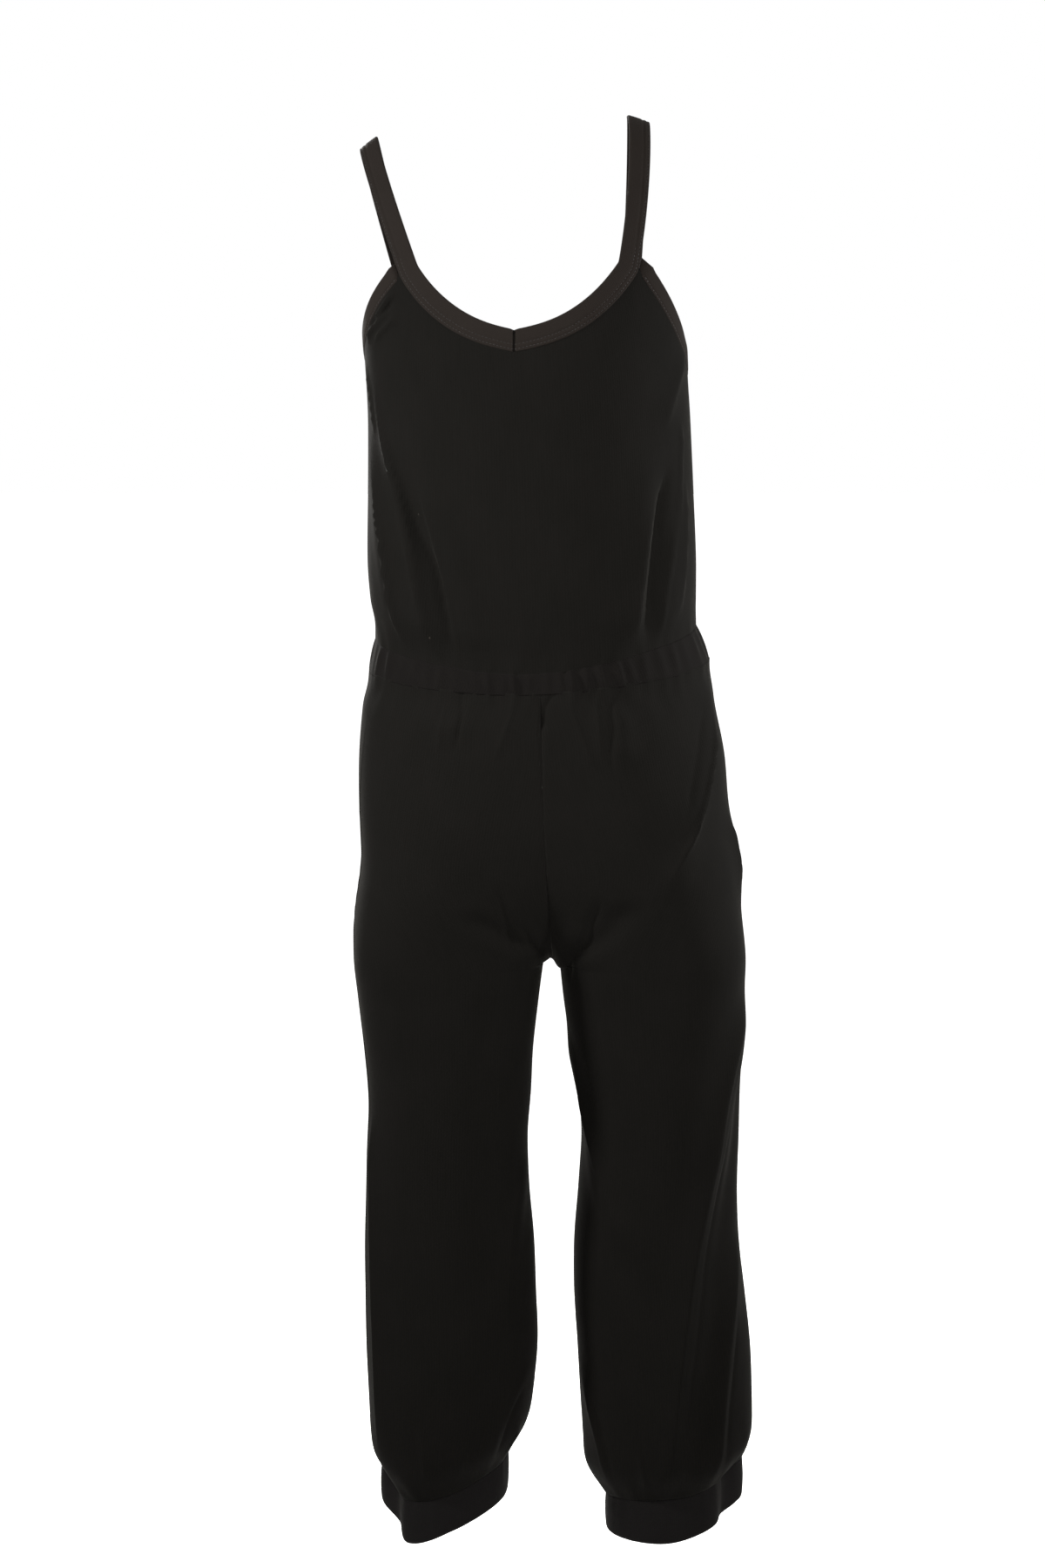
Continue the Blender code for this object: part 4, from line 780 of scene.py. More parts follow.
def makeVelour(name, settings):
    # Brushed cotton velour: dyed black pile, so next to no gloss, a soft pale nap where it turns away,
    # faint wales running down the cloth, cloudy brushing marks and a few specks of lint.
    material, shader = startMaterial(name)
    uv = addNode(material, "ShaderNodeTexCoord").outputs["UV"]
    clouds = addNode(material, "ShaderNodeTexNoise", None,
                     {"Vector": uv, "Scale": settings["cloudScale"], "Detail": 4.0, "Roughness": 0.55})
    pile = addNode(material, "ShaderNodeTexNoise", None,
                   {"Vector": uv, "Scale": 1 / settings["pileGrain"], "Detail": 3.0, "Roughness": 0.6})
    stretched = addNode(material, "ShaderNodeMapping", None,
                        {"Vector": uv, "Scale": (1.0, settings["brushStretch"], 1.0)})
    brushing = addNode(material, "ShaderNodeTexNoise", None,
                       {"Vector": stretched.outputs["Vector"], "Scale": settings["brushScale"],
                        "Detail": 2.0})
    wales = addNode(material, "ShaderNodeTexWave", {"wave_type": "BANDS", "bands_direction": "X"},
                    {"Vector": uv, "Scale": bandPitch / settings["walePitch"], "Distortion": 1.1,
                     "Detail": 2.0, "Detail Scale": 1.4})
    tone = addNode(material, "ShaderNodeMath", {"operation": "MULTIPLY_ADD"},
                   {0: pile.outputs["Fac"], 1: settings["pileTone"], 2: settings["ground"]})
    tone = addNode(material, "ShaderNodeMath", {"operation": "MULTIPLY_ADD"},
                   {0: clouds.outputs["Fac"], 1: settings["cloudTone"], 2: tone.outputs["Value"]})
    for streaks, strength in ((brushing, settings["brushTone"]), (wales, settings["waleTone"])):
        tone = addNode(material, "ShaderNodeMath", {"operation": "MULTIPLY_ADD", "use_clamp": True},
                       {0: streaks.outputs["Fac"], 1: strength, 2: tone.outputs["Value"]})
    cloth = addNode(material, "ShaderNodeMix", {"data_type": "RGBA"},
                    {0: tone.outputs["Value"], 6: linear(settings["dark"]), 7: linear(settings["light"])})
    specks = addNode(material, "ShaderNodeTexVoronoi", {"feature": "F1"},
                     {"Vector": uv, "Scale": settings["lintScale"]})
    small = addNode(material, "ShaderNodeMath", {"operation": "LESS_THAN"},
                    {0: specks.outputs["Distance"], 1: settings["lintSize"]})
    rare = addNode(material, "ShaderNodeMath", {"operation": "GREATER_THAN"},
                   {0: specks.outputs["Color"], 1: settings["lintBare"]})
    lint = addNode(material, "ShaderNodeMath", {"operation": "MULTIPLY"},
                   {0: small.outputs["Value"], 1: rare.outputs["Value"]})
    colour = addNode(material, "ShaderNodeMix", {"data_type": "RGBA"},
                     {0: lint.outputs["Value"], 6: cloth.outputs[2], 7: linear(settings["lint"])})
    waleBump = addNode(material, "ShaderNodeBump", None,
                       {"Strength": 0.5, "Distance": settings["waleDepth"], "Height": wales.outputs["Fac"]})
    pileBump = addNode(material, "ShaderNodeBump", None,
                       {"Strength": 0.8, "Distance": settings["pileDepth"], "Height": pile.outputs["Fac"],
                        "Normal": waleBump.outputs["Normal"]})
    return finishCloth(material, shader, colour, pileBump, settings)


knitSettings = {
    "both": {
        "cloudScale": 30.0, "fuzzScale": 800.0, "fuzzDepth": 0.00012,
        "ground": -0.25, "fuzzTone": 0.4, "cloudTone": 0.6,
        "roughness": 0.88, "gloss": 0.03, "sheen": 0.015, "sheenRoughness": 0.45,
    },
    "binding": {"dark": "#0f0c0a", "light": "#13100e", "ribs": 0.0016, "courses": 0.0014, "depth": 0.00016},
    "cuff": {"dark": "#080707", "light": "#0c0b0a", "ribs": 0.0019, "courses": 0.0016, "depth": 0.00018},
}


def makeKnit(name, settings):
    # Cotton jersey, knitted and dyed black: a flatter face than the velour's, so it looks a little lighter
    # and browner, with tiny ribs and rows of stitches drawn coarser than the real 0.8 mm so that they show.
    material, shader = startMaterial(name)
    uv = addNode(material, "ShaderNodeTexCoord").outputs["UV"]
    ribs = addNode(material, "ShaderNodeTexWave", {"wave_type": "BANDS", "bands_direction": "X"},
                   {"Vector": uv, "Scale": bandPitch / settings["ribs"], "Distortion": 0.7, "Detail": 2.0})
    courses = addNode(material, "ShaderNodeTexWave", {"wave_type": "BANDS", "bands_direction": "Y"},
                      {"Vector": uv, "Scale": bandPitch / settings["courses"], "Distortion": 1.0,
                       "Detail": 1.0})
    fuzz = addNode(material, "ShaderNodeTexNoise", None,
                   {"Vector": uv, "Scale": settings["fuzzScale"], "Detail": 3.0})
    clouds = addNode(material, "ShaderNodeTexNoise", None,
                     {"Vector": uv, "Scale": settings["cloudScale"], "Detail": 3.0})
    knit = addNode(material, "ShaderNodeMath", {"operation": "MULTIPLY"},
                   {0: ribs.outputs["Fac"], 1: courses.outputs["Fac"]})
    tone = addNode(material, "ShaderNodeMath", {"operation": "MULTIPLY_ADD", "use_clamp": True},
                   {0: fuzz.outputs["Fac"], 1: settings["fuzzTone"], 2: settings["ground"]})
    tone = addNode(material, "ShaderNodeMath", {"operation": "MULTIPLY_ADD", "use_clamp": True},
                   {0: clouds.outputs["Fac"], 1: settings["cloudTone"], 2: tone.outputs["Value"]})
    colour = addNode(material, "ShaderNodeMix", {"data_type": "RGBA"},
                     {0: tone.outputs["Value"], 6: linear(settings["dark"]), 7: linear(settings["light"])})
    knitBump = addNode(material, "ShaderNodeBump", None,
                       {"Strength": 0.6, "Distance": settings["depth"], "Height": knit.outputs["Value"]})
    fuzzBump = addNode(material, "ShaderNodeBump", None,
                       {"Strength": 0.6, "Distance": settings["fuzzDepth"], "Height": fuzz.outputs["Fac"],
                        "Normal": knitBump.outputs["Normal"]})
    return finishCloth(material, shader, colour, fuzzBump, settings)


threadSettings = {
    "both": {"twistScale": 2600.0, "twistDepth": 0.0001, "roughness": 0.55},
    "stitches": {"dark": "#0b0908", "light": "#131110", "gloss": 0.2},
    # the mitre's thread is darker than the stitches: partly its own colour, partly painted shade for the slot
    # it sits in
    "seam": {"dark": "#090807", "light": "#0d0b0a", "gloss": 0.0},     # sunk in, so it catches no light
}


def makeThread(name, settings):
    # Spun polyester sewing thread, dyed black: rounder and a touch glossier than the cloth, finely twisted.
    material, shader = startMaterial(name)
    place = addNode(material, "ShaderNodeTexCoord").outputs["Object"]
    twist = addNode(material, "ShaderNodeTexNoise", None,
                    {"Vector": place, "Scale": settings["twistScale"], "Detail": 2.0})
    colour = addNode(material, "ShaderNodeMix", {"data_type": "RGBA"},
                     {0: twist.outputs["Fac"], 6: linear(settings["dark"]), 7: linear(settings["light"])})
    bump = addNode(material, "ShaderNodeBump", None,
                   {"Strength": 0.4, "Distance": settings["twistDepth"], "Height": twist.outputs["Fac"]})
    return finishCloth(material, shader, colour, bump, settings)


velour = makeVelour("blackBrushedVelour", velourSettings)
casingVelour = makeVelour("blackShirredVelour", {**velourSettings, "dark": "#040303"})
jersey = makeKnit("blackCottonJersey", {**knitSettings["both"], **knitSettings["binding"]})
cuffKnit = makeKnit("blackRibKnit", {**knitSettings["both"], **knitSettings["cuff"]})
thread = makeThread("blackPolyesterThread", {**threadSettings["both"], **threadSettings["stitches"]})
# the mitre's bar: thread colour darkened as painted shade for the binding's slot
mitreThreadAndShade = makeThread("mitreThreadPaintedShade", {**threadSettings["both"], **threadSettings["seam"]})
print("materials made")


bodiceSettings = {
    "columns": 150, "rows": 130, "bunching": 0.06,     # the rows lie this much closer halfway down
    "sideReach": 0.146,     # from the bodice's middle out to a side seam
    "seamDepth": 0.0008, "seamWidth": 0.0022, "edgeDip": 0.0007, "edgeWidth": 0.004,
    "underBinding": 0.0030, "underCasing": 0.0025,     # hidden edges
    "calmEdge": 0.008,     # folds die out this close to a binding
}


allowanceSettings = {
    "reach": 0.0052, "inside": 0.0026, "wall": 0.0008,
    "rowsOff": 2, "ankleOff": 4, "forkOff": 6,     # rows left free at an end, at the ankle and at the fork
}


def sewAllowance(name, points, rows, side):
    # two cut edges pressed flat inside a seam, along a panel's first (side 0) or last (side -1) column
    edge, beside = points[rows, side], points[rows, 1 if side == 0 else -2]
    normals = gridNormals(points)[rows, side]
    across = edge - beside
    across /= np.linalg.norm(across, axis=1, keepdims=True)
    reach = allowanceSettings["reach"]
    shifts = np.array((-reach, -reach / 3, reach / 3, reach))
    strip = (edge - normals * allowanceSettings["inside"])[:, None] + across[:, None] * shifts[None, :, None]
    piece = clothPiece(name, strip, velour, wall=allowanceSettings["wall"])
    float(runLengths(strip, 0)[-1, 1])


def seamDip(points, depth, width, sides=(True, True), ends=(False, False)):
    # how far the cloth sinks beside its seams
    across, down = runLengths(points, 1), runLengths(points, 0)
    dip = np.zeros(points.shape[:2])
    distances = (across, across[:, [-1]] - across, down, down[[-1]] - down)
    for wanted, distance in zip((*sides, *ends), distances):
        if wanted:
            dip -= depth * np.exp(-((distance / width) ** 2))
    return dip


def buildBodice(panel, settings):
    start = 0 if panel == "front" else 180
    gap = np.degrees(seamGap / 2 / settings["sideReach"])
    turns = np.linspace(start + gap, start + 180 - gap, settings["columns"] + 1)
    # one column on each strap join, so that the corner there stays sharp
    for side in ("left", "right"):
        turns[np.argmin(np.abs(turns - strapJoins[side, panel][0]))] = strapJoins[side, panel][0]
    down = np.linspace(0, 1, settings["rows"] + 1)
    down = down + settings["bunching"] * np.sin(2 * np.pi * down) / (2 * np.pi)
    turn, share = np.meshgrid(turns, down)
    top = bodiceEdge(panel, turn) + settings["underBinding"]
    low = casingLevel(turn, 0.0) - settings["underCasing"]
    height = top + (low - top) * share
    points, plain = bodicePoint(turn, height), bodicePoint(turn, height, False)
    points = plain + (points - plain) * smoothStep((top - height) / settings["calmEdge"])[..., None]
    dip = seamDip(points, settings["seamDepth"], settings["seamWidth"])
    dip += seamDip(points, settings["edgeDip"], settings["edgeWidth"], (False, False), (True, False))
    points = points + gridNormals(points) * dip[..., None]
    piece = clothPiece("bodice" + panel.capitalize(), points, velour)
    if panel == "front":
        rows = slice(allowanceSettings["rowsOff"], -allowanceSettings["rowsOff"])
        sewAllowance("bodiceAllowanceLeft", points, rows, 0)
        sewAllowance("bodiceAllowanceRight", points, rows, -1)
    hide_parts("bodice_" + panel)


for panel in ("front", "back"):
    buildBodice(panel, bodiceSettings)
print("bodice built")


casingSettings = {
    "columns": 448, "rows": 20,
    "bulge": 0.0007, "puckerRise": 0.0024, "puckerWidth": 0.0024,
    "bulgeMean": 0.4, "puckerMean": 0.4,     # taken off, so that the casing gets no fuller
    "edgeShare": 0.35,     # of the puckers' rise is left at the sewn edges
    "slant": 0.02, "wander": 0.0011,     # how far a pucker leans, and how far it pulls the edges up or down
}


def shareGrid(settings):
    return np.meshgrid(np.linspace(0, 1, settings["columns"] + 1), np.linspace(0, 1, settings["rows"] + 1))


def buildCasing(settings):
    share, down = shareGrid(settings)
    bulge = bandProud + settings["bulge"] * np.sin(np.pi * down) ** 0.6
    pucker = np.zeros(share.shape)
    for gather in waistGathers:
        apart = roundApart(share, gather["centre"], girths["casing"])
        apart = apart - gather["lean"] * settings["slant"] * (down - 0.5)
        rise = gather["rise"] / gatherSettings["waist"]["rise"]
        pucker += rise * np.exp(-((apart / settings["puckerWidth"]) ** 2))
    kept = settings["edgeShare"] + (1 - settings["edgeShare"]) * np.sin(np.pi * down)
    pucker = settings["puckerRise"] * (pucker - settings["puckerMean"]) * kept
    points = casingPoint(360 * share, down, bulge + pucker - settings["bulge"] * settings["bulgeMean"])
    # the sewn edges wander a little up and down with the gathers
    points[..., 2] += settings["wander"] * (pucker / settings["puckerRise"]) * np.cos(np.pi * down)
    points[:, -1] = points[:, 0]
    piece = clothPiece("waistCasing", points, casingVelour, tube=True, wall=bandWall)
    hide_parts("waist_casing")


buildCasing(casingSettings)
print("waist casing built")


trouserSettings = {
    "columns": 148,
    # heights between the waist and the ankle, with how many rows lie between each and the next
    "rows": ((-0.4720, 15), (-0.505, 46), (-0.700, 18), (-0.7365, 16), (-0.7475, 9), (-0.765, 100),
             (-1.200, 27), (-1.2505, 0)),
    "ridgeRows": 84,     # the second count on the right front, where the hip's fine ridge runs
    "seamDepth": 0.0003, "seamWidth": 0.0016,
    "pinned": 3,     # seam widths from the centre seam over which the cloth keeps to its plane
    "forkMargin": 0.004,     # rows this close above the fork count as the leg's
}


def buildTrouserPanel(side, panel, settings):
    rows = list(settings["rows"])
    if (side, panel) == ("right", "front"):
        rows[1] = (rows[1][0], settings["ridgeRows"])
    heights = [
        start + (end - start) * step / count
        for (start, count), (end, _) in zip(rows, rows[1:]) for step in range(count)
    ]
    heights.append(rows[-1][0])
    across, height = np.meshgrid(np.linspace(0, 1, settings["columns"] + 1), heights)
    points = legPoint(side, panel, across, height)
    dip = seamDip(points, settings["seamDepth"], settings["seamWidth"])
    sunk = points + gridNormals(points) * dip[..., None]
    # above the fork the centre seam stays in its plane and only its depth changes
    run = runLengths(points, 1)
    toSeam = (run[:, [-1]] - run) / (settings["pinned"] * settings["seamWidth"])
    pinned = np.exp(-(toSeam**2)) * (points[..., 2] > crotchHeight)
    sunk[..., 0] += (points[..., 0] - sunk[..., 0]) * pinned
    points = sunk
    points[..., 0] *= mirrors[side]
    name = "trouser" + side.capitalize() + panel.capitalize()
    piece = clothPiece(name, points, velour)
    fork = np.count_nonzero(points[:, -1, 2] > crotchHeight + settings["forkMargin"])
    top, ankle, apart = (allowanceSettings[name] for name in ("rowsOff", "ankleOff", "forkOff"))
    if panel == "front":
        sewAllowance("outseamAllowance" + side.capitalize(), points, slice(top, -ankle), 0)
        sewAllowance("inseamAllowance" + side.capitalize(), points, slice(fork + apart, -ankle), -1)
    if side == "left":
        sewAllowance("centreAllowance" + panel.capitalize(), points, slice(top, fork - apart), -1)
    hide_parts(f"trouser_{panel}_{side}")


for side in ("left", "right"):
    for panel in ("front", "back"):
        buildTrouserPanel(side, panel, trouserSettings)
    print(side, "trouser leg built")


cuffSettings = {
    "columns": 224, "rows": 22, "length": 0.036, "wall": 0.0024,
    "hemRound": 0.0022, "hemFold": 0.004,     # how far in and over what height the hem turns
    "ripple": 0.0007, "rippleWidth": 0.005, "rippleMean": 0.6,     # the top edge follows the ankle's gathers
}


def buildCuff(side, settings):
    share, down = shareGrid(settings)
    ripple = np.zeros(share.shape)
    for gather in ankleGathers[side]:
        apart = roundApart(share, gather["centre"], girths["cuff"])
        rise = gather["rise"] / gatherSettings["ankle"]["rise"]
        ripple += rise * np.exp(-((apart / settings["rippleWidth"]) ** 2))
    ripple = settings["ripple"] * (ripple - settings["rippleMean"]) * (1 - down) ** 1.5
    swell = bandProud + cuffSwell * np.sin(np.pi * down)
    hemRound = settings["hemRound"] * roundProfile(1 - (1 - down) * settings["length"] / settings["hemFold"])
    points = cuffPoint(side, 360 * share, down, swell + ripple - hemRound)
    points[..., 0] *= mirrors[side]
    points[:, -1] = points[:, 0]
    piece = clothPiece("cuff" + side.capitalize(), points, cuffKnit, tube=True, wall=settings["wall"])
    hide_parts("cuff_" + side)


for side in ("left", "right"):
    buildCuff(side, cuffSettings)
print("cuffs built")


bindingSettings = {
    "neckWidth": 0.0195, "armholeWidth": 0.0150, "armholeLap": 0.0030,
    "turnings": 0.004,     # what the folds add to the width of the flat strip
    "neckColumns": 60, "strapStations": 70, "armholeColumns": 36,
    "smoothing": 4,     # rounds of it, against the small kink where the edge runs on into the strap
    "edgeGap": 0.0003,     # from the cloth's edge
    "joinShare": 0.01,     # of the edge that is left to the strap's own curve
    "armholeFoot": 1.1,     # how many times as wide the armhole binding starts at the strap
    "crown": 0.0002, "furrow": 0.00055, "furrowWidth": 0.0009, "rowsAt": (0.0025, 0.0065),
    "rowOverrun": 6,     # stations by which the upper row of stitches runs on along the strap
    "mitreDepth": 0.0027, "mitreHalf": 0.0009, "mitreLip": 0.0004,
    "closeStations": (0.0009, 0.0011, 0.0013, 0.0020),
    # the mitre's line of thread, partly painted shade for the slot: width and depth, how far below the
    # binding's face, how much shorter
    "mitreSeam": (0.0018, 0.0016), "mitreSunk": 0.0008, "mitreShort": 0.0010,
    "fan": 0.010,     # from here on the binding turns into the mitre
    "endTuck": 0.0016, "endSink": 0.0008,     # the armhole bindings' ends go under the straps
}
stitchSettings = {
    "pitch": 0.0032, "length": 0.0023, "thickness": 0.00055,
    "sunk": 0.6,     # of the furrow's depth
}


def unit(vectors):
    return vectors / np.maximum(np.linalg.norm(vectors, axis=-1, keepdims=True), 1e-12)


def edgeStations(panel, turns):
    # points on a bodice edge, the cloth's outward direction there and the direction across the binding
    turns = np.asarray(turns, float)
    step, rise = 0.5, 0.001
    height = bodiceEdge(panel, turns)
    point = bodicePoint(turns, height, False)
    across = bodicePoint(turns + step, height, False) - bodicePoint(turns - step, height, False)
    down = bodicePoint(turns, height - rise, False) - bodicePoint(turns, height + rise, False)
    outward = unit(np.cross(down, across))
    edge = [bodicePoint(turn, bodiceEdge(panel, turn), False) for turn in (turns - step, turns + step)]
    width = unit(np.cross(outward, unit(edge[1] - edge[0])))
    width = np.where(width[:, [2]] > 0, width, -width)
    return point, width, outward


def neckStations(side, panel, columns):
    neck, join = neckLow[panel][0], strapJoins[side, panel][0]
    turns = neck + (join - neck) * np.linspace(0, 1, columns + 1)
    turns[-1] += (neck - join) * bindingSettings["joinShare"]
    point, width, outward = edgeStations(panel, turns)
    upright = unit(width[0] * (0, 1, 1))
    width[0] = upright / upright.dot(width[0])
    point[0, 0] -= mirrors[side] * seamGap / 2
    return point + unit(width) * bindingSettings["edgeGap"], width, outward


def strapStations(side, frontEnd, backEnd, count):
    shape = strapCrests[side]
    crest, slope = np.array(shape["crest"]), math.radians(shape["slope"])
    crestWidth = np.array((mirrors[side] * math.cos(slope), 0, math.sin(slope))) * shape["fullness"]
    up = np.array((0, 0, 1.0))
    points, widths, outwards = [], [], []
    for step in range(-count, count + 1):
        share = abs(step) / count
        end = frontEnd if step < 0 else backEnd
        # the way from the crest to an end has a curve of its own sideways, in depth and downwards
        shares = np.array((share ** (shape["rounding"] * shape["bow"]), share, share ** shape["rounding"]))
        points.append(crest + (end[0] - crest) * shares)
        widths.append(crestWidth + (unit(end[1]) - crestWidth) * share)
        outwards.append(up + (end[2] - up) * share)
    return np.array(points), np.array(widths), np.array(outwards)


def smoothRun(values, times):
    # the first and the last stay where they are
    values = values.copy()
    for _ in range(times):
        values[1:-1] = 0.25 * values[:-2] + 0.5 * values[1:-1] + 0.25 * values[2:]
    return values


def addCloseStations(stations, distances):
    # more stations near both ends, so that the mitre can be narrow
    lengths = runLengths(stations[0][:, None], 0)[:, 0]
    wanted = np.sort(np.concatenate((lengths, distances, lengths[-1] - np.array(distances))))
    return tuple(
        np.stack([np.interp(wanted, lengths, values[:, axis]) for axis in range(3)], 1) for values in stations
    )


def bandFrames(stations, fan):
    # across and outward directions of a band at every station; its ends keep their slant over the fan
    point, width, outward = stations
    along = unit(np.gradient(point, axis=0))
    stretch = np.linalg.norm(width, axis=1, keepdims=True)
    slanted = unit(width)
    square = unit(slanted - along * (slanted * along).sum(1, keepdims=True))
    lengths = runLengths(point[:, None], 0)
    share = smoothStep(np.minimum(lengths, lengths[-1] - lengths) / max(fan, 1e-6))
    ends = np.where(lengths < lengths[-1] / 2, slanted[:1], slanted[-1:])
    across = unit(ends + (square - ends) * share)
    normal = unit(np.cross(along, across))
    normal = np.where(((normal * outward).sum(1) > 0)[:, None], normal, -normal)
    return point, across * stretch, normal


def bandProfile(width, wall, rowsAt):
    # half of a folded binding seen end on: rounded folds, a furrow under each row of stitches
    radius = wall / 2
    front = np.linspace(radius, width - radius, 19)
    lift = bandProud + bindingSettings["crown"] * np.sin(np.pi * (front - radius) / (width - 2 * radius))
    for row in rowsAt:
        lift -= bindingSettings["furrow"] * np.exp(-(((front - row) / bindingSettings["furrowWidth"]) ** 2))
    bend = np.radians(np.linspace(0, 180, 7)[1:-1])
    sideways, upwards = radius * np.sin(bend), radius * np.cos(bend)
    upper = np.stack((width - radius + sideways, bandProud - radius + upwards), 1)
    lower = np.stack((radius - sideways, bandProud - radius - upwards), 1)
    back = np.linspace(width - radius, radius, 9)
    back = np.stack((back, np.full(back.shape, bandProud - wall)), 1)
    return np.concatenate((np.stack((front, lift), 1), upper, back, lower, [(front[0], lift[0])]))


def buildBand(name, stations, width, rowsAt, node, sink=0.0, fan=0.0):
    # a grid wrapped into a flat tube along the edge, with its two ends closed
    point, across, normal = bandFrames(stations, fan)
    profile = bandProfile(width, bandWall, rowsAt)
    points = point[:, None] + across[:, None] * profile[None, :, :1] + normal[:, None] * profile[None, :, 1:]
    faceSide = smoothStep((profile[:, 1] - bandProud + bandWall) / bandWall)
    points = points - normal[:, None] * (faceSide[None, :] * np.reshape(sink, (-1, 1)))[..., None]
    lengths = runLengths(points[:, :1], 0)
    mesh = layGrid(points, lengths, runLengths(points[:1], 1))
    bmesh.ops.remove_doubles(mesh, verts=mesh.verts, dist=1e-6)
    openEdges = [edge for edge in mesh.edges if edge.is_boundary]
    bmesh.ops.holes_fill(mesh, edges=openEdges, sides=0)
    bmesh.ops.recalc_face_normals(mesh, faces=mesh.faces)
    piece = finishPiece(name, mesh, jersey)
    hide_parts(node)
    return point, across, normal


def sewRow(mesh, point, across, normal, offset, settings):
    # one row of thread bars along a band, at an offset from its lower edge
    line = point + unit(across) * offset
    line = line + normal * (bandProud - bindingSettings["furrow"] * settings["sunk"])
    lengths = np.concatenate(([0], np.cumsum(np.linalg.norm(np.diff(line, axis=0), axis=1))))
    count = int(lengths[-1] / settings["pitch"])
    for index in range(count):
        at = (index + 0.5) / count * lengths[-1]
        place = Vector([np.interp(at, lengths, line[:, axis]) for axis in range(3)])
        near = int(np.clip(np.searchsorted(lengths, at), 1, len(lengths) - 1))
        heading = Vector(unit(line[near] - line[near - 1]))
        up = Vector(normal[near])
        side = up.cross(heading).normalized()
        turned = Matrix((heading, side, heading.cross(side))).transposed().to_4x4()
        scaled = Matrix.Diagonal((settings["length"], settings["thickness"], settings["thickness"], 1.0))
        bmesh.ops.create_uvsphere(mesh, u_segments=6, v_segments=4, radius=0.5,
                                  matrix=Matrix.Translation(place) @ turned @ scaled)


def someStations(run, first, last):
    return tuple(values[first:last] for values in run)


def sewMitre(name, run, station, settings):
    # the seam that joins the two bindings at the neck's middle: a dark bar that is partly its thread and
    # partly painted shade for the slot; the left one ends half a gap before it
    point, across, normal = (Vector(values[station]) for values in run)
    point[0] = run[0][station][0] + seamGap / 2
    across.normalize()
    wide, deep = settings["mitreSeam"]
    place = point + across * settings["neckWidth"] / 2
    place = place + normal * (bandProud - settings["mitreSunk"] - deep / 2)
    turned = Matrix((across.cross(normal), across, normal)).transposed().to_4x4()
    scaled = Matrix.Diagonal((wide, settings["neckWidth"] - settings["mitreShort"], deep, 1.0))
    mesh = bmesh.new()
    bmesh.ops.create_cube(mesh, size=1.0, matrix=Matrix.Translation(place) @ turned @ scaled)
    finishPiece(name, mesh, mitreThreadAndShade)


def buildNeckBand(side, settings):
    columns = settings["neckColumns"]
    rowEnd = columns + len(settings["closeStations"]) + settings["rowOverrun"]
    front, back = neckStations(side, "front", columns), neckStations(side, "back", columns)
    frontEnd, backEnd = [values[-1] for values in front], [values[-1] for values in back]
    strap = strapStations(side, frontEnd, backEnd, settings["strapStations"])
    stations = tuple(
        smoothRun(np.concatenate((values, middle[1:-1], last[::-1])), settings["smoothing"])
        for values, middle, last in zip(front, strap, back)
    )
    stations = addCloseStations(stations, settings["closeStations"])
    # the mitre at the neck's middle is a slot across the binding
    along = runLengths(stations[0][:, None], 0)[:, 0]
    fromEnd = np.minimum(along, along[-1] - along)
    sink = settings["mitreDepth"] * (1 - smoothStep((fromEnd - settings["mitreHalf"]) / settings["mitreLip"]))
    run = buildBand("neckBand" + side.capitalize(), stations, settings["neckWidth"], settings["rowsAt"],
                    "neck_band_" + side, sink, settings["fan"])
    mesh = bmesh.new()
    sewRow(mesh, *run, settings["rowsAt"][0], stitchSettings)
    sewRow(mesh, *someStations(run, 0, rowEnd), settings["rowsAt"][1], stitchSettings)
    sewRow(mesh, *someStations(run, -rowEnd, len(run[0])), settings["rowsAt"][1], stitchSettings)
    finishPiece("neckStitches" + side.capitalize(), mesh, thread)
    if side == "left":
        sewMitre("mitreSeamShadeFront", run, 0, settings)
        sewMitre("mitreSeamShadeBack", run, -1, settings)
    return strap


def buildArmholeBand(side, strap, settings):
    under = underarms[side][0]
    halves = []
    for panel in ("front", "back"):
        join = strapJoins[side, panel][0]
        end = 360.0 if side == "left" and panel == "back" else under
        turns = join + (end - join) * np.linspace(0, 1, settings["armholeColumns"] + 1)
        turns[0] += (end - join) * settings["joinShare"]
        point, width, outward = edgeStations(panel, turns)
        strapWay = strap[0][1] - strap[0][0] if panel == "front" else strap[0][-2] - strap[0][-1]
        width[0] = unit(strapWay) * settings["armholeFoot"]
        point[-1] = bodicePoint(under, underarms[side][1], False)
        width[-1] = (0, 0, 1)
        point = point + unit(width) * (settings["edgeGap"] - settings["armholeLap"])
        halves.append((point, width, outward))
    stations = tuple(
        smoothRun(np.concatenate((values, last[::-1][1:])), settings["smoothing"])
        for values, last in zip(*halves)
    )
    stations[0][[0, -1], 0] += mirrors[side] * settings["endTuck"]
    stations[0][[0, -1]] -= unit(stations[2][[0, -1]]) * settings["endSink"]
    run = buildBand("armholeBand" + side.capitalize(), stations, settings["armholeWidth"],
                    settings["rowsAt"][:1], "armhole_band_" + side)
    mesh = bmesh.new()
    sewRow(mesh, *someStations(run, 1, len(run[0]) - 1), settings["rowsAt"][0], stitchSettings)
    finishPiece("armholeStitches" + side.capitalize(), mesh, thread)


for side in ("left", "right"):
    strap = buildNeckBand(side, bindingSettings)
    buildArmholeBand(side, strap, bindingSettings)
print("bindings and straps built")


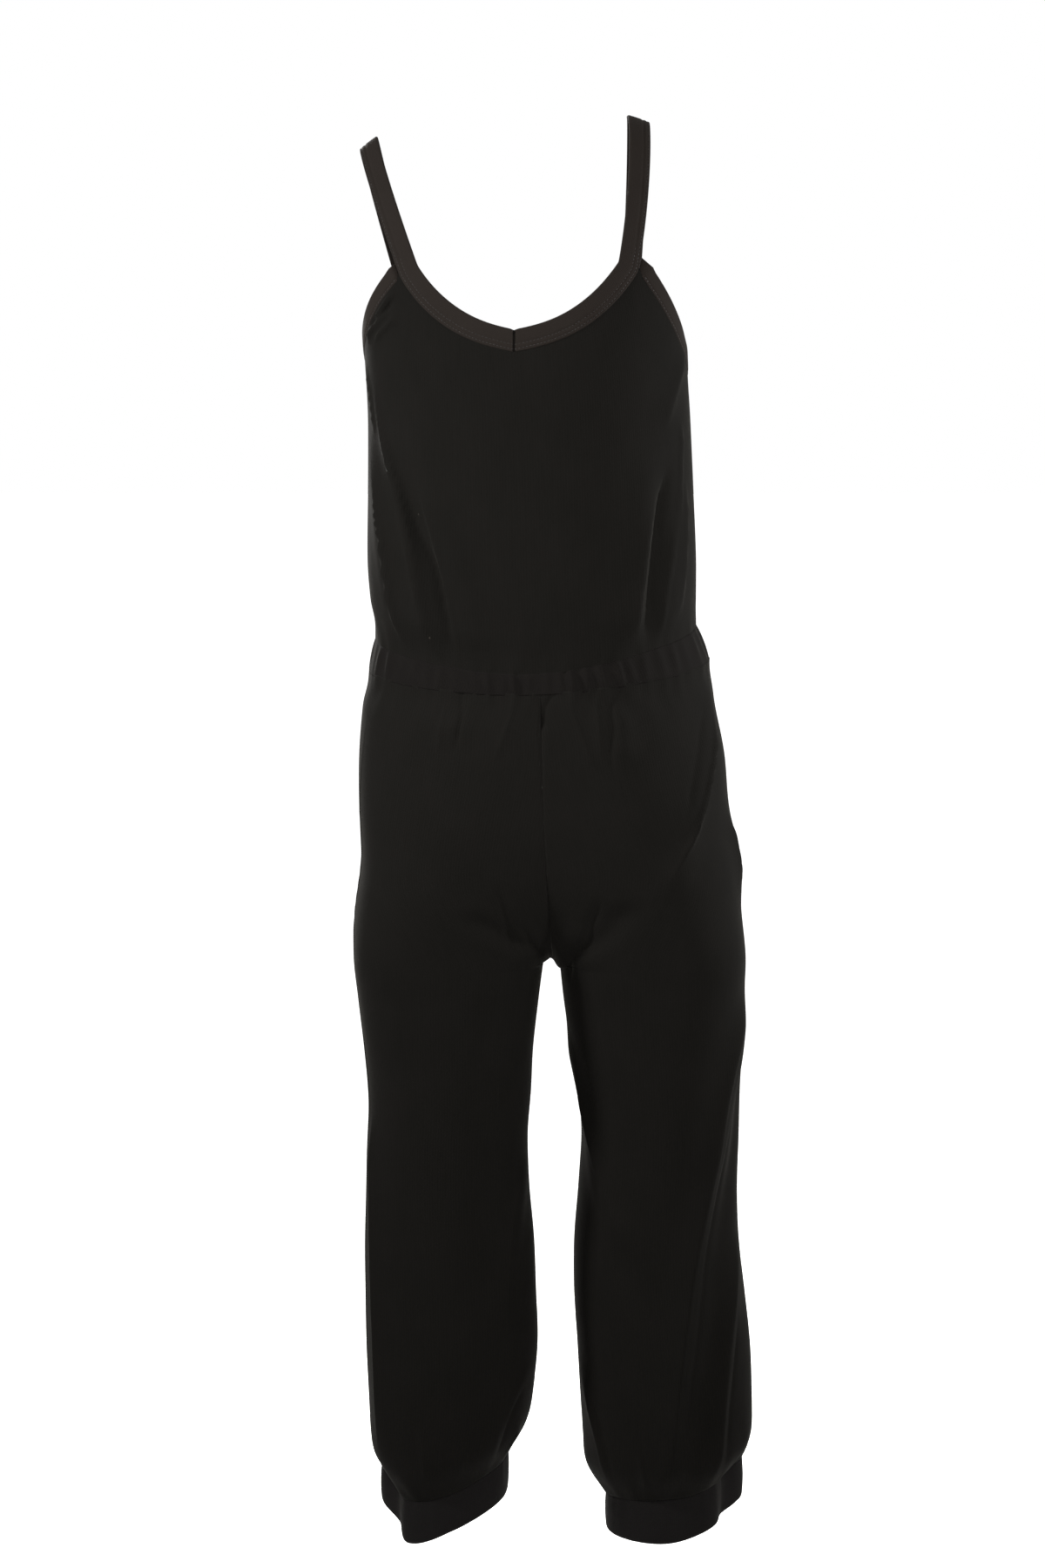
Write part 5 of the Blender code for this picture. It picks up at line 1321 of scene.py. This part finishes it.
studioSettings = {
    "floor": -1.42, "floorSize": 40.0, "floorColour": "#f6f5f3", "glowColour": "#ffffff", "floorSeen": 0.80,
    "worldColour": "#ffffff", "world": 0.5, "worldSeen": 1.0,     # for the cloth, and for the camera
    # name: place, aim, size, power, spread in degrees; pale soft boxes
    "lamps": {
        "keyLamp": ((-2.4, -0.70, 0.60), (0.0, 0.0, -0.42), 0.40, 22.0, 56.0),
        "frontLamp": ((0.0, -2.75, 0.20), (0.0, 0.0, -0.38), 0.5, 14.0, 50.0),
        "fillLamp": ((2.2, -1.2, 0.40), (0.0, 0.0, -0.55), 0.6, 11.0, 60.0),
        "rimLamp": ((2.4, 0.60, 0.05), (0.0, 0.0, -0.55), 0.5, 6.5, 40.0),
        "backLamp": ((-1.1, 2.3, 0.60), (0.0, 0.0, -0.45), 0.6, 18.0, 70.0),
    },
}


def buildFloor(settings):
    # one pale sheet of paper, lit until it is as white as the wall behind it
    mesh = bmesh.new()
    bmesh.ops.create_grid(mesh, x_segments=1, y_segments=1, size=settings["floorSize"] / 2,
                          matrix=Matrix.Translation((0, 0, settings["floor"])))
    material, shader = startMaterial("palePaper")
    shader.inputs["Base Color"].default_value = linear(settings["floorColour"])
    shader.inputs["Roughness"].default_value = 0.95
    shader.inputs["Specular IOR Level"].default_value = 0.1
    shader.inputs["Emission Color"].default_value = linear(settings["glowColour"])
    seen = addNode(material, "ShaderNodeLightPath").outputs["Is Camera Ray"]
    glow = addNode(material, "ShaderNodeMath", {"operation": "MULTIPLY"}, {0: seen, 1: settings["floorSeen"]})
    material.node_tree.links.new(glow.outputs["Value"], shader.inputs["Emission Strength"])
    floor = finishMesh("floor", mesh, material)


def lightStudio(settings):
    world = bpy.data.worlds.new("studioWorld")
    world.use_nodes = True
    background = world.node_tree.nodes["Background"]
    background.inputs["Color"].default_value = linear(settings["worldColour"])
    seen = addNode(world, "ShaderNodeLightPath").outputs["Is Camera Ray"]
    strength = addNode(world, "ShaderNodeMath", {"operation": "MULTIPLY_ADD"},
                       {0: seen, 1: settings["worldSeen"] - settings["world"], 2: settings["world"]})
    world.node_tree.links.new(strength.outputs["Value"], background.inputs["Strength"])
    bpy.context.scene.world = world
    for name, (place, target, size, power, spread) in settings["lamps"].items():
        data = bpy.data.lights.new(name, "AREA")
        data.size = size
        data.energy = power
        data.spread = math.radians(spread)
        lamp = bpy.data.objects.new(name, data)
        lamp.location = place
        aim = Vector(target) - Vector(place)
        lamp.rotation_euler = aim.to_track_quat("-Z", "Y").to_euler()
        bpy.context.scene.collection.objects.link(lamp)
    bpy.context.scene.view_settings.view_transform = "Standard"
    bpy.context.scene.view_settings.look = "None"


buildFloor(studioSettings)
lightStudio(studioSettings)
print("floor and light ready")
